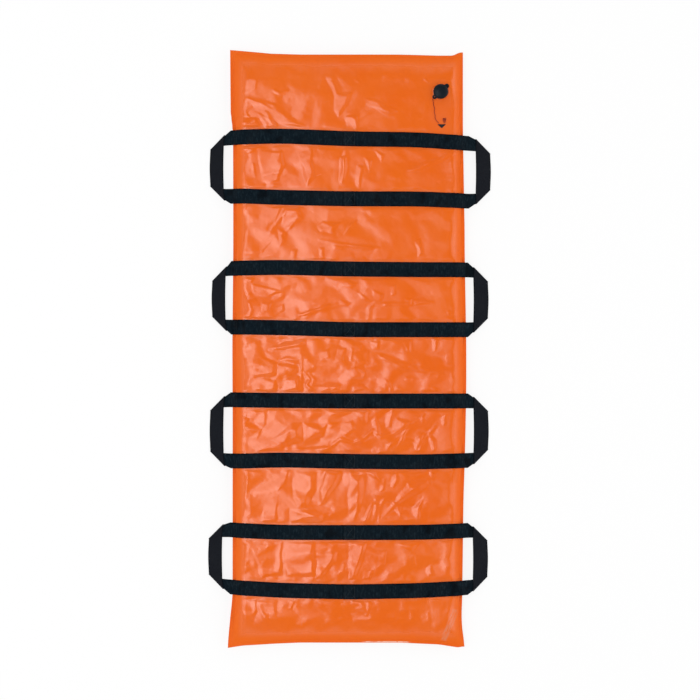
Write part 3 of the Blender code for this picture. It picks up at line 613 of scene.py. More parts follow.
# aim, from 0, unlit, to 1, fully lit, and the outline's pixels as across, down, across, down
FACETS = [
    # head end
    (0.40, 233, 79, 244, 75, 257, 77, 257, 88, 245, 93, 233, 90),
    (0.50, 234, 98, 240, 98, 246, 105, 240, 115, 232, 114),
    (0.95, 239, 115, 243, 105, 250, 116),
    (0.60, 247, 98, 262, 101, 284, 113, 302, 127, 280, 123, 256, 110),
    (0.50, 257, 111, 270, 116, 280, 129, 265, 128),
    (0.42, 233, 118, 255, 116, 262, 129, 233, 129),
    (0.95, 327, 79, 333, 80, 338, 95, 333, 94),
    (0.70, 334, 93, 353, 92, 350, 102, 338, 117, 334, 110),
    (0.40, 345, 116, 359, 114, 358, 131, 347, 131),
    (0.25, 362, 96, 380, 101, 401, 112, 390, 116, 366, 105),
    (0.90, 383, 59, 388, 61, 397, 69, 391, 68),
    (0.50, 432, 57, 441, 61, 462, 58, 454, 66, 440, 66),
    (0.55, 419, 68, 424, 71, 431, 84, 424, 79),
    (0.95, 443.5, 102, 448, 101, 446.5, 109),
    # inside ring 1
    (0.85, 238, 157, 243, 149, 258, 147, 253, 152),
    (0.80, 240, 158, 244, 158, 245, 170, 240, 186),
    (0.70, 250, 163, 254, 163, 256, 177, 252, 177),
    (0.50, 257, 151, 282, 149, 286, 165, 280, 176, 262, 176),
    (0.60, 262, 175, 281, 171, 278, 182, 264, 183),
    (0.28, 298, 152, 312, 148, 316, 178, 306, 187),
    (1.00, 340, 157, 347, 155, 348, 168, 343, 183, 339, 182),
    (0.40, 364, 157, 373, 160, 369, 174),
    (0.40, 375, 149, 385, 154, 382, 164),
    (0.36, 405, 170, 424, 161, 460, 148, 459, 153, 440, 162, 420, 171),
    (0.50, 357, 165, 364, 166, 360, 188, 355, 188),
    # between rings 1 and 2
    (0.50, 235, 206, 246, 205, 243, 222, 236, 236),
    (0.35, 238, 253, 262, 241, 273, 238, 262, 253),
    (0.45, 268, 208, 281, 207, 276, 222, 266, 227),
    (0.60, 284, 207, 300, 207, 303, 219, 290, 228, 281, 226),
    (0.95, 278, 229, 285, 230, 284, 240, 279, 245),
    (0.95, 316, 226, 322, 221, 343, 222, 333, 232, 321, 232),
    (1.00, 358, 218, 354, 227, 343, 237, 348, 225),
    (1.00, 332, 244, 344, 246, 342, 249, 334, 248),
    (0.60, 343, 243, 372, 246, 380, 250, 352, 249),
    (0.60, 291, 250, 297, 249, 295, 259, 291, 259),
    (0.30, 319, 247, 325, 247, 324, 260, 320, 260),
    (0.30, 415, 240, 421, 238, 423, 255, 418, 257),
    # inside ring 2
    (0.85, 243, 276, 257, 276, 252, 284),
    (0.45, 252, 284, 270, 286, 283, 292, 270, 297, 253, 296),
    (0.65, 237, 303, 247, 300, 254, 310, 249, 319),
    (0.95, 262, 302, 272, 300, 268, 312, 262, 312),
    (0.75, 272, 308, 284, 302, 285, 311, 275, 316),
    (0.90, 296, 314, 330, 304, 332, 308, 312, 313, 300, 317),
    (1.00, 340, 299, 352, 302, 346, 306, 340, 304),
    (0.50, 341, 285, 350, 280, 359, 284, 352, 289),
    (1.00, 355, 290, 364, 294, 373, 301, 364, 300),
    (0.50, 372, 289, 384, 293, 381, 302, 374, 300),
    (0.90, 372, 305, 371, 321, 367, 319, 367, 310),
    (0.90, 383, 303, 391, 302, 390, 306, 384, 307),
    (0.95, 404, 298, 413, 298, 412, 306, 405, 306),
    (0.50, 413, 300, 424, 299, 432, 303, 415, 305),
    (1.00, 446, 312, 449.5, 311, 449, 316),
    (0.90, 460, 306, 465, 313, 463, 317),
    (0.35, 390, 286, 396, 284, 396, 295, 391, 296),
    # between rings 2 and 3
    (0.55, 268, 347, 283, 343, 303, 337, 306, 343, 300, 348, 285, 350),
    (0.95, 276, 361, 284, 356, 300, 356, 300, 364),
    (0.70, 254, 363, 262, 357, 276, 362, 277, 375, 253, 377),
    (0.80, 277, 364, 300, 365, 300, 372, 284, 380, 277, 377),
    (0.85, 252, 379, 264, 376, 276, 379, 278, 392, 253, 392),
    (0.95, 277, 382, 300, 373, 300, 392, 278, 392),
    (1.00, 306, 355, 310, 361, 305, 361),
    (0.60, 311, 363, 316, 364, 313, 372),
    (0.60, 317, 353, 330, 348, 331, 358, 320, 359),
    (0.85, 338, 349, 346, 347, 345, 362, 335, 362),
    (0.80, 350, 346, 354, 349, 353, 362, 350, 362),
    (0.50, 355, 343, 363, 344, 361, 352, 356, 350),
    (0.95, 364, 353, 370, 350, 368, 362, 363, 362),
    (0.50, 371, 341, 381, 342, 379, 350, 373, 349),
    (0.85, 380, 356, 409, 367, 419, 372, 404, 370, 384, 362),
    (1.00, 408, 366, 414, 361, 419, 370, 424, 374, 410, 371),
    (0.80, 402, 337, 412, 341, 410, 353, 406, 351),
    (0.50, 432, 338, 438, 337, 437, 350, 433, 350),
    (0.90, 429, 373, 433, 371, 430, 379),
    (0.90, 436, 374, 442, 374, 438, 379),
    (0.65, 346, 373, 355, 366, 366, 372, 363, 380, 352, 379),
    (0.90, 383, 379, 388, 381, 395, 392, 389, 391),
    (0.70, 352, 386, 362, 384, 371, 391, 354, 392),
    (0.75, 312, 386, 325, 382, 341, 384, 339, 392, 314, 392),
    (0.75, 404, 376, 417, 378, 410, 382, 404, 380),
    (0.70, 394, 386, 402, 388, 405, 392, 396, 392),
    (0.60, 430, 388, 436, 387, 441, 392, 432, 392),
    # inside ring 3
    (0.90, 240, 417, 250, 418, 241, 432),
    (0.50, 239, 410, 267, 410, 266, 425, 260, 430, 251, 422),
    (0.90, 263, 425, 257, 438, 249, 444, 253, 435),
    (0.95, 271, 441, 290, 423, 302, 423, 303, 442, 287, 447),
    (0.95, 303, 423, 327, 423, 325, 437, 304, 442),
    (0.95, 327, 424, 341, 423, 337, 426, 328, 428),
    (0.95, 328, 411, 345, 408, 354, 412, 344, 416, 330, 415),
    (0.80, 300, 408, 322, 408, 320, 411, 302, 411),
    (0.50, 342, 423, 352, 421, 357, 430, 345, 437, 340, 432),
    (0.85, 355, 409, 369, 410, 366, 426, 361, 422),
    (1.00, 371, 421, 379, 415, 381, 427, 384, 435, 377, 435),
    (0.65, 385, 415, 397, 408, 391, 428, 386, 428),
    (0.75, 397, 418, 413, 421, 406, 429, 390, 436),
    (0.65, 410, 424, 403, 441, 396, 449, 400, 435),
    (0.85, 412, 441, 425, 431, 421, 445, 416, 451),
    (0.60, 417, 418, 425, 413, 424, 425),
    (1.00, 440, 419, 446, 414, 448, 423, 444, 426),
    (0.75, 428, 431, 437, 440, 436, 450, 431, 453),
    # between rings 3 and 4
    (0.95, 236, 471, 240, 473, 240, 484, 236, 492),
    (0.75, 245, 471, 249, 478, 246, 498, 242, 508, 243, 490),
    (1.00, 281, 471, 288, 471, 285, 484, 278, 493, 276, 489),
    (0.80, 292, 472, 316, 471, 316, 490, 307, 508, 298, 508, 293, 498),
    (0.80, 317, 471, 342, 470, 341, 481, 325, 503, 312, 508, 318, 490),
    (0.60, 289, 509, 316, 510, 323, 514, 322, 523, 290, 523),
    (1.00, 351, 476, 363, 474, 365, 486, 362, 505, 356, 520, 349, 517, 348, 494),
    (0.90, 349, 470, 357, 470, 350, 478),
    (0.75, 368, 470, 377, 471, 381, 482, 373, 477),
    (1.00, 392, 477, 399, 471, 400, 480, 395, 489, 391, 487),
    (0.90, 395, 500, 408, 482, 428, 480, 431, 485, 420, 493, 399, 504),
    (0.95, 429, 470, 436, 474, 434, 482, 430, 479),
    (0.75, 388, 497, 402, 506, 401, 517, 394, 509),
    (0.90, 363, 521, 369, 506, 374, 501, 370, 515, 366, 524),
    (0.75, 374, 504, 380, 502, 377, 521, 372, 521),
    (0.70, 413, 508, 425, 496, 421, 516, 416, 524),
    (0.32, 262, 507, 277, 497, 277, 522, 262, 522),
    (0.75, 381, 481, 385, 478, 384, 491, 379, 493),
    # inside ring 4
    (0.90, 235, 560, 245, 562, 248, 568, 243, 574),
    (0.38, 250, 546, 282, 542, 283, 577, 262, 578),
    (0.42, 284, 542, 315, 541, 317, 576, 285, 578),
    (0.75, 317, 552, 345, 551, 336, 562, 333, 579, 316, 579),
    (0.65, 341, 562, 346, 563, 344, 573, 338, 576),
    (0.65, 349, 541, 369, 541, 364, 557, 357, 580, 349, 580),
    (0.65, 379, 553, 387, 550, 385, 566, 377, 569),
    (0.55, 364, 570, 374, 570, 370, 580, 362, 580),
    (0.45, 397, 545, 409, 541, 422, 543, 412, 553),
    (0.45, 409, 556, 414, 552, 418, 566, 411, 569),
    (0.50, 426, 569, 431, 565, 436, 575, 430, 577),
    (0.65, 293, 542, 306, 541, 299, 551),
    # foot end
    (0.52, 236, 602, 256, 600, 258, 612, 250, 622, 242, 614),
    (0.50, 257, 601, 277, 600, 276, 618, 260, 613),
    (0.85, 258, 612, 269, 615, 267, 629, 261, 628),
    (0.65, 284, 600, 296, 601, 292, 610, 286, 608),
    (0.50, 350, 601, 364, 600, 366, 613, 352, 612),
    (0.95, 368, 601, 372, 604, 368, 617, 365, 616),
    (0.30, 235, 626, 245, 628, 250, 645, 236, 647),
    (0.35, 421, 615, 430, 611, 433, 622, 424, 626),
]

# a crest's pixels, its rise, and its lit and its far flank's width, in millimetres
FOLDS = [
    # head end
    ((247, 98, 272, 105, 302, 127), 1.6, 9, 12),
    ((266, 112, 277, 130), 2.2, 12, 10),
    ((274, 90, 280, 93, 287, 90), 1.8, 9, 8),
    ((320, 84, 323, 74, 330, 77, 335, 86, 338, 95), 2.4, 14, 20),
    ((348, 69, 359, 82), 1.2, 9, 9),
    ((432, 57, 440, 64, 462, 61), 1.8, 10, 12),
    ((445, 66, 456, 64, 463, 56), 1.6, 8, 8),
    # inside ring 1
    ((237, 160, 243, 149, 259, 146), 2.0, 10, 10),
    ((245, 160, 242, 172, 241, 187), 2.2, 11, 12),
    ((345, 153, 345, 168, 342, 182), 1.8, 10, 16),
    # between rings 1 and 2
    ((284, 212, 270, 232), 1.8, 11, 10),
    ((303, 216, 285, 231), 1.6, 10, 10),
    ((279, 231, 285, 233, 284, 241, 279, 245), 1.6, 7, 8),
    ((320, 240, 345, 245, 378, 248), 1.4, 8, 9),
    # inside ring 2
    ((236, 320, 243, 306, 254, 300), 2.0, 10, 12),
    ((297, 315, 320, 309, 343, 303), 1.8, 9, 14),
    ((375, 303, 369, 308, 368, 320), 1.8, 9, 10),
    ((372, 305, 391, 304, 413, 304, 432, 302), 1.3, 8, 9),
    # between rings 2 and 3
    ((270, 349, 290, 346, 304, 342, 306, 338), 1.8, 10, 9),
    ((301, 355, 301, 392), 2.2, 11, 9),
    ((303, 372, 310, 379, 306, 385, 314, 391), 2.6, 9, 8),
    ((309, 374, 314, 380, 311, 387), 1.8, 8, 8),
    ((380, 356, 398, 363, 416, 369, 439, 373), 2.0, 10, 14),
    # inside ring 3
    ((280, 452, 319, 449, 329, 448, 340, 439, 353, 443, 360, 441, 373, 430,
      381, 437, 397, 432, 415, 423), 2.4, 9, 9),
    ((388, 447, 400, 436, 414, 423), 1.6, 9, 9),
    ((418, 453, 424, 441, 437, 424), 1.4, 8, 9),
    # between rings 3 and 4
    ((247, 471, 248, 482, 243, 506), 1.8, 9, 10),
    ((381, 519, 401, 498), 1.6, 9, 9),
    ((364, 524, 370, 509, 376, 501), 1.6, 8, 8),
    ((379, 522, 379, 508, 384, 500), 1.4, 8, 8),
    ((352, 474, 366, 469, 381, 483), 1.3, 9, 9),
    # inside ring 4
    ((235, 559, 246, 563, 247, 569, 241, 575), 1.8, 9, 10),
    # foot end
    ((236, 604, 248, 622), 1.6, 9, 10),
    ((256, 601, 270, 629), 1.4, 9, 10),
]


def at_pixels(pixels):
    """The places in metres that a list of the photograph's pixels shows."""
    across, down = np.reshape(pixels, (-1, 2)).T
    return np.stack([across - MIDDLE_PIXEL[0], MIDDLE_PIXEL[1] - down], -1) * MM_PER_PIXEL / 1000


def around(x, y, points, margin):
    """Which places lie in the upright box round some points, with a margin."""
    low, high = points.min(axis=0) - margin, points.max(axis=0) + margin
    return (x > low[0]) & (x < high[0]) & (y > low[1]) & (y < high[1])


def mirror_slope(place, aim):
    """The slope at a place whose normal lies halfway between the ways to the camera and the panel."""
    beyond = place[1] * (1 + KEY_HEIGHT / camera.location.z)
    here = np.array([*place, 0.0])
    normal = 0
    for point in (camera.location, (KEY_EDGE + AIM_FROM - AIM_REACH * aim, beyond, KEY_HEIGHT)):
        way = np.array(point) - here
        normal = normal + way / np.linalg.norm(way)
    return -normal[:2] / normal[2]


def facet_height(x, y, corners, slope):
    """A plane that rises from the outline's lowest corner, cut off by steep flanks: the least distance
    inside an edge of the outline, times the flanks' slope."""
    plane = x * slope[0] + y * slope[1] - (corners @ slope).min()
    (ax, ay), (bx, by) = corners.T, np.roll(corners, -1, axis=0).T
    turn = math.copysign(1, (ax * by - bx * ay).sum())
    inside = np.min([turn * ((q - p) * (y - r) - (s - r) * (x - p)) / math.hypot(q - p, s - r)
                     for p, r, q, s in zip(ax, ay, bx, by)], axis=0)
    return np.maximum(np.minimum(plane, FLANK * inside), 0)


def laid_facets(x, y):
    """All the facets, each where it is the highest. Their edges waver, and each leans a little."""
    total = np.zeros(x.shape)
    u = x + WAVER * value_noise(x, y, WAVER_CELL, 71)
    v = y + WAVER * value_noise(x, y, WAVER_CELL, 72)
    leans = np.random.default_rng(73).uniform(-LEAN, LEAN, len(FACETS))
    for (aim, *pixels), lean in zip(FACETS, leans):
        corners = at_pixels(pixels)
        here = around(x, y, corners, FACET_MARGIN)
        slope = mirror_slope(corners.mean(axis=0), aim) + (0, lean)
        total[here] = np.maximum(total[here], facet_height(u[here], v[here], corners, slope))
    return total


def fold_height(x, y, route, rise, lit_width, far_width):
    """Height of one fold: half a straight and half an eased fall from its crest, over the lit or the far
    width, as the side is, and lower at the ends."""
    to_light = np.array(KEY_OVER) - route.mean(axis=0)
    steps = np.diff(route, axis=0)
    reach = np.append(0, np.cumsum(np.hypot(*steps.T)))
    near = np.full(x.shape, np.inf)
    facing, along = np.zeros(x.shape), np.zeros(x.shape)
    for (ax, ay), (ux, uy), start in zip(route, steps, reach):
        length = math.hypot(ux, uy)
        t = np.clip(((x - ax) * ux + (y - ay) * uy) / length ** 2, 0, 1)
        dx, dy = x - ax - t * ux, y - ay - t * uy
        distance = np.hypot(dx, dy)
        closer = distance < near
        normal = np.array([-uy, ux]) / length
        normal *= math.copysign(1, normal @ to_light)
        facing = np.where(closer, (dx * normal[0] + dy * normal[1]) / np.maximum(distance, 1e-9), facing)
        along = np.where(closer, (start + t * length) / reach[-1], along)
        near = np.where(closer, distance, near)
    width = far_width + (lit_width - far_width) * ease(0.5 + 0.5 * facing)
    fall = 1 - np.clip(near / width, 0, 1)
    return rise * (fall + ease(fall)) / 2 * (1 - FOLD_END_DROP * abs(2 * along - 1) ** 3)


def laid_folds(x, y):
    """All the folds: each raises the sheet to its own height where it is the higher one."""
    total = np.zeros(x.shape)
    for pixels, *sizes in FOLDS:
        route = at_pixels(pixels)
        rise, lit_width, far_width = np.array(sizes) / 1000
        here = around(x, y, route, max(lit_width, far_width))
        height = fold_height(x[here], y[here], route, rise, lit_width, far_width)
        total[here] = np.maximum(total[here], height)
    return total


def creased(x, y, cell, seed):
    """Random heights, flat between creases: numbers from -1 to 1 on a slanting lattice, which noise bends,
    read straight over its triangles."""
    bent_x = x + LATTICE_STRAY * cell * value_noise(x, y, LATTICE_STRAY_CELL * cell, seed + 1)
    bent_y = y + LATTICE_STRAY * cell * value_noise(x, y, LATTICE_STRAY_CELL * cell, seed + 2)
    cosine, sine = LATTICE_TURN
    u, v = (cosine * bent_x + sine * bent_y) / cell, (cosine * bent_y - sine * bent_x) / cell
    i, j = np.floor(u).astype(int), np.floor(v).astype(int)
    s, t = u - i, v - j
    near_left, near_right, far_left, far_right = lattice_corners(i, j, seed)
    lower = near_left + s * (near_right - near_left) + t * (far_left - near_left)
    upper = far_right + (1 - s) * (far_left - far_right) + (1 - t) * (near_right - far_right)
    return np.where(s + t < 1, lower, upper)


def crinkles(x, y):
    """Faint facets at two sizes where the sheet is slack, and a very fine unevenness all over."""
    (broad, *broad_cell), (small, *small_cell) = CRINKLES
    heights = broad * creased(x, y, *broad_cell) + small * creased(x, y, *small_cell)
    rise, cell, seed = UNEVENNESS
    return slackness(x, y) * heights + rise * value_noise(x, y, cell, seed)


print("facets:", len(FACETS), " folds:", len(FOLDS))

# %% [markdown]
# ## The two half pads
#
# The upper sheet is one fine grid: the bag's form, a low pillow between the straps, the wrinkles and the
# folds are all heights added on it. Under the straps, the valve and its tether it stays plain, so nothing
# pokes through. A fan at the seam's height closes it.

# %% Bag surfaces
WELD_LINES = (0.0, 0.0007, 0.0026, 0.0034, 0.0042, 0.0062, 0.0070, 0.0078)  # grid lines, in from the edge
WELD_GROOVES, WELD_GROOVE = (0.0034, 0.0070), 0.00015  # the pressed lines among them, and their depth
ON_LINE = 0.0002
SHOULDER_STEPS = 12
UPPER_STEP, LOWER_STEP = 0.003, 0.009
PILLOW_RISE = 0.0008
WRINKLE_SHARE = 0.34  # of the simulated heights
SOFT_FADE = 0.045  # the shoulder is full at a strap and droops this far from it
DROOP = 1.15  # how much longer a drooping shoulder is than a full one
PUCKER_START, PUCKER_FROM, PUCKER_OVER = 0.012, 0.024, 0.060  # lengths in which puckers come and go
PUCKERS = ((0.0016, 0.028), (0.0007, 0.011))  # rise and cell
LOWER_PUCKER_SHARE = 0.8
RIPPLE_RISE, RIPPLE_CELL, RIPPLE_OVER = 0.0014, 0.060, 0.02
APART = 5.0  # keeps one side's noise clear of another's
VALVE_FLAT, VALVE_FADE = 0.034, 0.022  # plain fabric round the valve, and where the relief fades in
TAB_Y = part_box("tether_tab")[0].y
WELL_EDGE, WELL_FOOT, WELL_DEPTH = 0.0152, 0.011, 0.024  # the hole for the valve's neck


def grid_lines(half, shoulder_length, step):
    """Grid lines: the weld's own, a shoulder in even steps of angle, and an even middle."""
    edge = half - WELD
    weld = half - np.array(WELD_LINES + (WELD,))
    turn = np.linspace(0, math.pi / 2, SHOULDER_STEPS + 1)[1:-1]
    bend = edge - shoulder_length * (1 - np.cos(turn))
    inner = edge - shoulder_length
    even = np.linspace(-inner, inner, round(2 * inner / step) + 1)
    return np.concatenate([-weld, -bend, even, bend[::-1], weld[::-1]])


def inset(x, y):
    return np.minimum(HALF_WIDTH - abs(x), HALF_LENGTH - abs(y))


def valve_clear(x, y):
    """0 on the line from the valve's axis to the tether's tab, 1 a little way from it."""
    down = np.clip((VALVE_Y - y) / (VALVE_Y - TAB_Y), 0, 1)
    away = np.hypot(x - VALVE_X, y - (VALVE_Y - down * (VALVE_Y - TAB_Y)))
    return ease((away - VALVE_FLAT) / VALVE_FADE)


def wrinkles(x, y):
    """The simulated heights at any place, read between the four nearest points of their grid."""
    u = np.clip((x + HALF_WIDTH) / (cloth_x[1] - cloth_x[0]), 0, len(cloth_x) - 1.001)
    v = np.clip((y + HALF_LENGTH) / (cloth_y[1] - cloth_y[0]), 0, len(cloth_y) - 1.001)
    i, j = u.astype(int), v.astype(int)
    s, t = u - i, v - j
    return ((CLOTH[j, i] * (1 - s) + CLOTH[j, i + 1] * s) * (1 - t)
            + (CLOTH[j + 1, i] * (1 - s) + CLOTH[j + 1, i + 1] * s) * t)


def softened(heights):
    """Each height averaged with its neighbours, a quarter from each side."""
    for axis in (0, 1):
        inner = np.apply_along_axis(np.convolve, axis, heights, [0.25, 0.5, 0.25], "same")
        keep = np.zeros(heights.shape, bool)
        keep[1:-1, 1:-1] = True
        heights = np.where(keep, inner, heights)
    return heights


def puckers(x, y, seed):
    """Short waves that run in from the weld: random along the edge, highest just inside it."""
    depth = inset(x, y)
    reach = ease((depth - WELD) / PUCKER_START) * (1 - ease((depth - PUCKER_FROM) / PUCKER_OVER))
    beside = HALF_WIDTH - abs(x) < HALF_LENGTH - abs(y)
    along = np.where(beside, y, x + 3.0)
    side = np.where(beside, x > 0, y > 0) * APART
    (long_rise, long_cell), (short_rise, short_cell) = PUCKERS
    return reach * (long_rise * value_noise(along, side + 0.5, long_cell, seed)
                    + short_rise * value_noise(along, side + 0.5, short_cell, seed + 1))


def edge_ripple(x, y):
    """The free rim's own slow waves, the same for both sheets."""
    away = 1 - ease((inset(x, y) - WELD) / RIPPLE_OVER)
    return away * RIPPLE_RISE * value_noise(x + 2.0, y, RIPPLE_CELL, 11)


def pressed(z, limit, cover):
    """Fabric that a strap holds down to a limit, in the share that the strap covers it."""
    return z - cover * np.maximum(z - limit, 0)


def drooping(x, y):
    """A gentler shoulder: a parabola on each side, of uneven width, that slants at the weld."""
    slump = DROOP + 0.40 * value_noise(x + APART, y, 0.080, 51) + 0.15 * value_noise(x + APART, y, 0.028, 52)
    side = np.clip((HALF_WIDTH - WELD - abs(x)) / (SIDE_SHOULDER * slump), 0, 1)
    end = np.clip((HALF_LENGTH - WELD - abs(y)) / (END_SHOULDER * slump), 0, 1)
    return (1 - (1 - side) ** 2) * (1 - (1 - end) ** 2)


def upper_height(x, y):
    """Outer face of the upper sheet over the flat rectangle's points."""
    px, py = plan(x, y)
    cover = strap_cover(px, py)
    held = np.maximum(strap_cover(px, py, SOFT_FADE), 1 - valve_clear(px, py))
    full = fullness(x, y) * held + drooping(x, y) * (1 - held)
    free = (1 - cover) * valve_clear(px, py)
    base = SEAM + GAP / 2 + SHEET * ease(inset(x, y) / WELD_LINES[1])
    grooves = sum(np.where(abs(inset(x, y) - line) < ON_LINE, WELD_GROOVE, 0) for line in WELD_GROOVES)
    relief = PILLOW_RISE + WRINKLE_SHARE * softened(wrinkles(x, y))
    for layer in (laid_facets, laid_folds, crinkles):
        relief += layer(px, py)
    z = base + (DECK - SEAM - GAP / 2 - SHEET) * full + crown(px, py) - grooves
    z += free * full ** 2 * relief + valve_clear(px, py) * puckers(x, y, 31) + edge_ripple(x, y) * (1 - cover)
    return pressed(z, strap_under(px) - GAP, cover)


def lower_height(x, y):
    """Outer face of the lower sheet: flat on the floor inside its shoulders."""
    px, py = plan(x, y)
    cover = strap_cover(px, py)
    base = SEAM - GAP / 2 - SHEET * ease(inset(x, y) / WELD_LINES[1])
    z = base * (1 - fullness(x, y)) + puckers(x, y, 41) * LOWER_PUCKER_SHARE + edge_ripple(x, y) * (1 - cover)
    return np.maximum(pressed(z, strap_under(px) - 2 * (GAP + SHEET), cover), 0)


def rim_numbers(rows, columns):
    """Numbers of a grid's outer points, in order round it."""
    number = np.arange(rows * columns).reshape(rows, columns)
    return np.concatenate([number[0], number[1:, -1], number[-1, -2::-1], number[-2:0:-1, 0]])


def half_pad(step, height):
    """A sheet over its grid, closed by a fan of triangles at the height of its rim."""
    x, y = np.meshgrid(grid_lines(HALF_WIDTH, SIDE_SHOULDER, step),
                       grid_lines(HALF_LENGTH, END_SHOULDER, step))
    z = height(x, y)
    points = np.stack([*plan(x, y), z], -1).reshape(-1, 3)
    rim = rim_numbers(*x.shape)
    fan = np.stack([np.roll(rim, -1), rim, np.full(len(rim), len(points))], -1)
    points = np.vstack([points, [0, 0, float(z.ravel()[rim].mean())]])
    return points, grid_faces(*x.shape).tolist() + fan.tolist(), np.append(inset(x, y), HALF_WIDTH)


def neck_well(points):
    """Draws the fabric to the neck's edge and sinks what lies inside, so that the neck is open."""
    away = points[:, :2] - (VALVE_X, VALVE_Y)
    radius = np.maximum(np.hypot(*away.T), 1e-6)
    upper = points[:, 2] > SEAM + 2 * SHEET
    edge = upper & (radius < WELL_EDGE) & (radius >= WELL_FOOT)
    points[edge, :2] = (VALVE_X, VALVE_Y) + away[edge] * (WELL_EDGE / radius[edge])[:, None]
    points[upper & (radius < WELL_FOOT), 2] -= WELL_DEPTH
    return points


upper_points, upper_faces, upper_inset = half_pad(UPPER_STEP, upper_height)
bag_upper = new_piece("bag_upper", neck_well(upper_points), upper_faces)
paint(bag_upper, "inset", upper_inset)
lower_points, lower_faces, lower_inset = half_pad(LOWER_STEP, lower_height)
bag_lower = new_piece("bag_lower", lower_points, lower_faces)
paint(bag_lower, "inset", lower_inset)
for pad, nodes in ((bag_upper, ("upper_sheet", "bead_fill")), (bag_lower, ("lower_sheet",))):
    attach(pad, "mattress")
    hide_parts(*nodes)
print("upper sheet's points:", len(upper_points),
      " highest, mm:", round(float(upper_points[:, 2].max()) * 1000, 1))

# %% [markdown]
# ## Ribbons
#
# Webbing is a flat woven strap with rounded selvages. Every strap here is a section carried along a row
# of cross lines: each has two ends and the direction that the strap's face looks in. One function
# makes the straight runs and the folded handles.


# %% Ribbon surface
SELVAGE = WEBBING / WEBBING_WIDTH  # share of half the width that the rounding takes
RIBBON_POINTS = 17  # across each face


def ribbon_section():
    """Places round the section as (share across, share up): even steps of angle across, and a thickness
    that keeps to a circle over the selvage. The reverse share is 0 on the face, 1 on the back."""
    across = np.sin(np.linspace(-math.pi / 2, math.pi / 2, RIBBON_POINTS))
    up = 0.5 * np.sqrt(1 - np.clip((abs(across) - 1 + SELVAGE) / SELVAGE, 0, 1) ** 2)
    back = slice(-2, 0, -1)
    return (np.concatenate([across, across[back]]), np.concatenate([up, -up[back]]),
            np.concatenate([np.zeros(RIBBON_POINTS), np.ones(RIBBON_POINTS - 2)]))


def ribbon(name, first, second, normal, thickness=WEBBING):
    """A strap from cross lines: a point is the line's middle, plus its share across times half the line,
    plus its share up times the thickness along the face's direction."""
    across, up, reverse = ribbon_section()
    centre, half = (first + second) / 2, (second - first) / 2
    normal = normal / np.linalg.norm(normal, axis=1, keepdims=True)
    points = (centre[:, None] + across[None, :, None] * half[:, None]
              + (up[None, :, None] * np.reshape(thickness, (-1, 1, 1))) * normal[:, None])
    rows, columns = points.shape[:2]
    faces = grid_faces(rows, columns, close_columns=True).tolist()
    faces += [list(range(columns)), [rows * columns - 1 - k for k in range(columns)]]
    along = np.append(0, np.cumsum(np.linalg.norm(np.diff(centre, axis=0), axis=1)))
    uv = np.stack([np.repeat(along, columns), np.tile(across * WEBBING_WIDTH / 2, rows)], -1)
    piece = new_piece(name, points, faces, uv)
    paint(piece, "reverse", np.tile(reverse, rows))
    return piece


# %% [markdown]
# ## The sixteen runs
#
# Each ring of webbing is two halves that lap on the middle line, the right one on top. A run is the part
# of a half that lies on the deck, along the strap line from before.

# %% Runs
LAP, LAP_STEP = 0.040, 0.012
RUN_STEP = 0.004
# At the tack the strap only thins, and its colour is painted darker: a line of painted shade across the lap.
TACK_X, TACK_HALF = 0.0117, 0.0009  # the dense row of stitches that draws the lap down
TACK_SQUEEZE = 0.45  # share of its thickness that the strap loses there
ROLL, ROLL_CELL = 0.0006, 0.07
LIFT, LIFT_CELL = 0.0005, 0.045
REST_FADE = 0.05  # roll and lift come and go over this length


def run_lines(run, side):
    """Cross lines of a run, from its lap out to the weld's edge, raised at the lap, with a slow lift and
    roll where it only rests on the deck. The last value is a bell curve over the tack, where the strap
    thins and its colour is painted darker as shade."""
    outward = np.linspace(-LAP / 2, STRAP_EDGE, round((STRAP_EDGE + LAP / 2) / RUN_STEP) + 1)
    if side > 0:
        outward = np.sort(np.append(outward, TACK_X + TACK_HALF * np.array([-2, -1, -0.5, 0, 0.5, 1, 2])))
    ring, end = run
    seed = 60 + 4 * ring + 2 * (end == "head") + (side > 0)
    x = side * outward
    y = strap_y(run, x)
    over = 1 - ease((outward - LAP / 2 - GAP) / LAP_STEP) if side > 0 else np.zeros(len(x))
    free = ease((TANGENT_X - outward) / REST_FADE) * ease((outward - LAP / 2) / REST_FADE)
    roll = ROLL * free * value_noise(x, 0.5, ROLL_CELL, seed + 40)
    lift = LIFT * free * (1 + value_noise(x, 0.5, LIFT_CELL, seed)) + abs(roll)
    z = strap_under(outward) + WEBBING / 2 + over * (WEBBING + GAP) + lift
    zero, one = np.zeros(len(x)), np.ones(len(x))
    normal = np.stack([-np.gradient(z, x), zero, one], -1)
    cross = np.stack([-np.gradient(y, x), one, roll / (WEBBING_WIDTH / 2)], -1) * WEBBING_WIDTH / 2
    centre = np.stack([x, y, z], -1)
    tack = np.exp(-((x - TACK_X) / TACK_HALF) ** 2) * (side > 0)
    return centre - cross, centre + cross, normal, tack


webbing = []
for run in RUNS:
    for side_name, side in (("left", -1), ("right", 1)):
        name = f"{run[0]}_{run[1]}_{side_name}"
        *lines, tack = run_lines(run, side)
        strap = ribbon(f"strap_{name}", *lines, WEBBING * (1 - TACK_SQUEEZE * tack))
        paint(strap, "tack", np.repeat(tack, 2 * RIBBON_POINTS - 2))
        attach(strap, "mattress")
        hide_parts(f"webbing_{name}")
        webbing.append(strap)
print("runs:", len(webbing), " points each:", len(webbing[0].data.vertices))

# %% [markdown]
# ## The eight handles
#
# Past the weld the strap goes on: out, folded over on itself at a slant, along as a grip, folded again
# and back. The folds turn the strap over, so the grip shows its plainer reverse. It is one ribbon; at a
# fold the cross lines lie along the crease, and the strap goes round half a small circle.

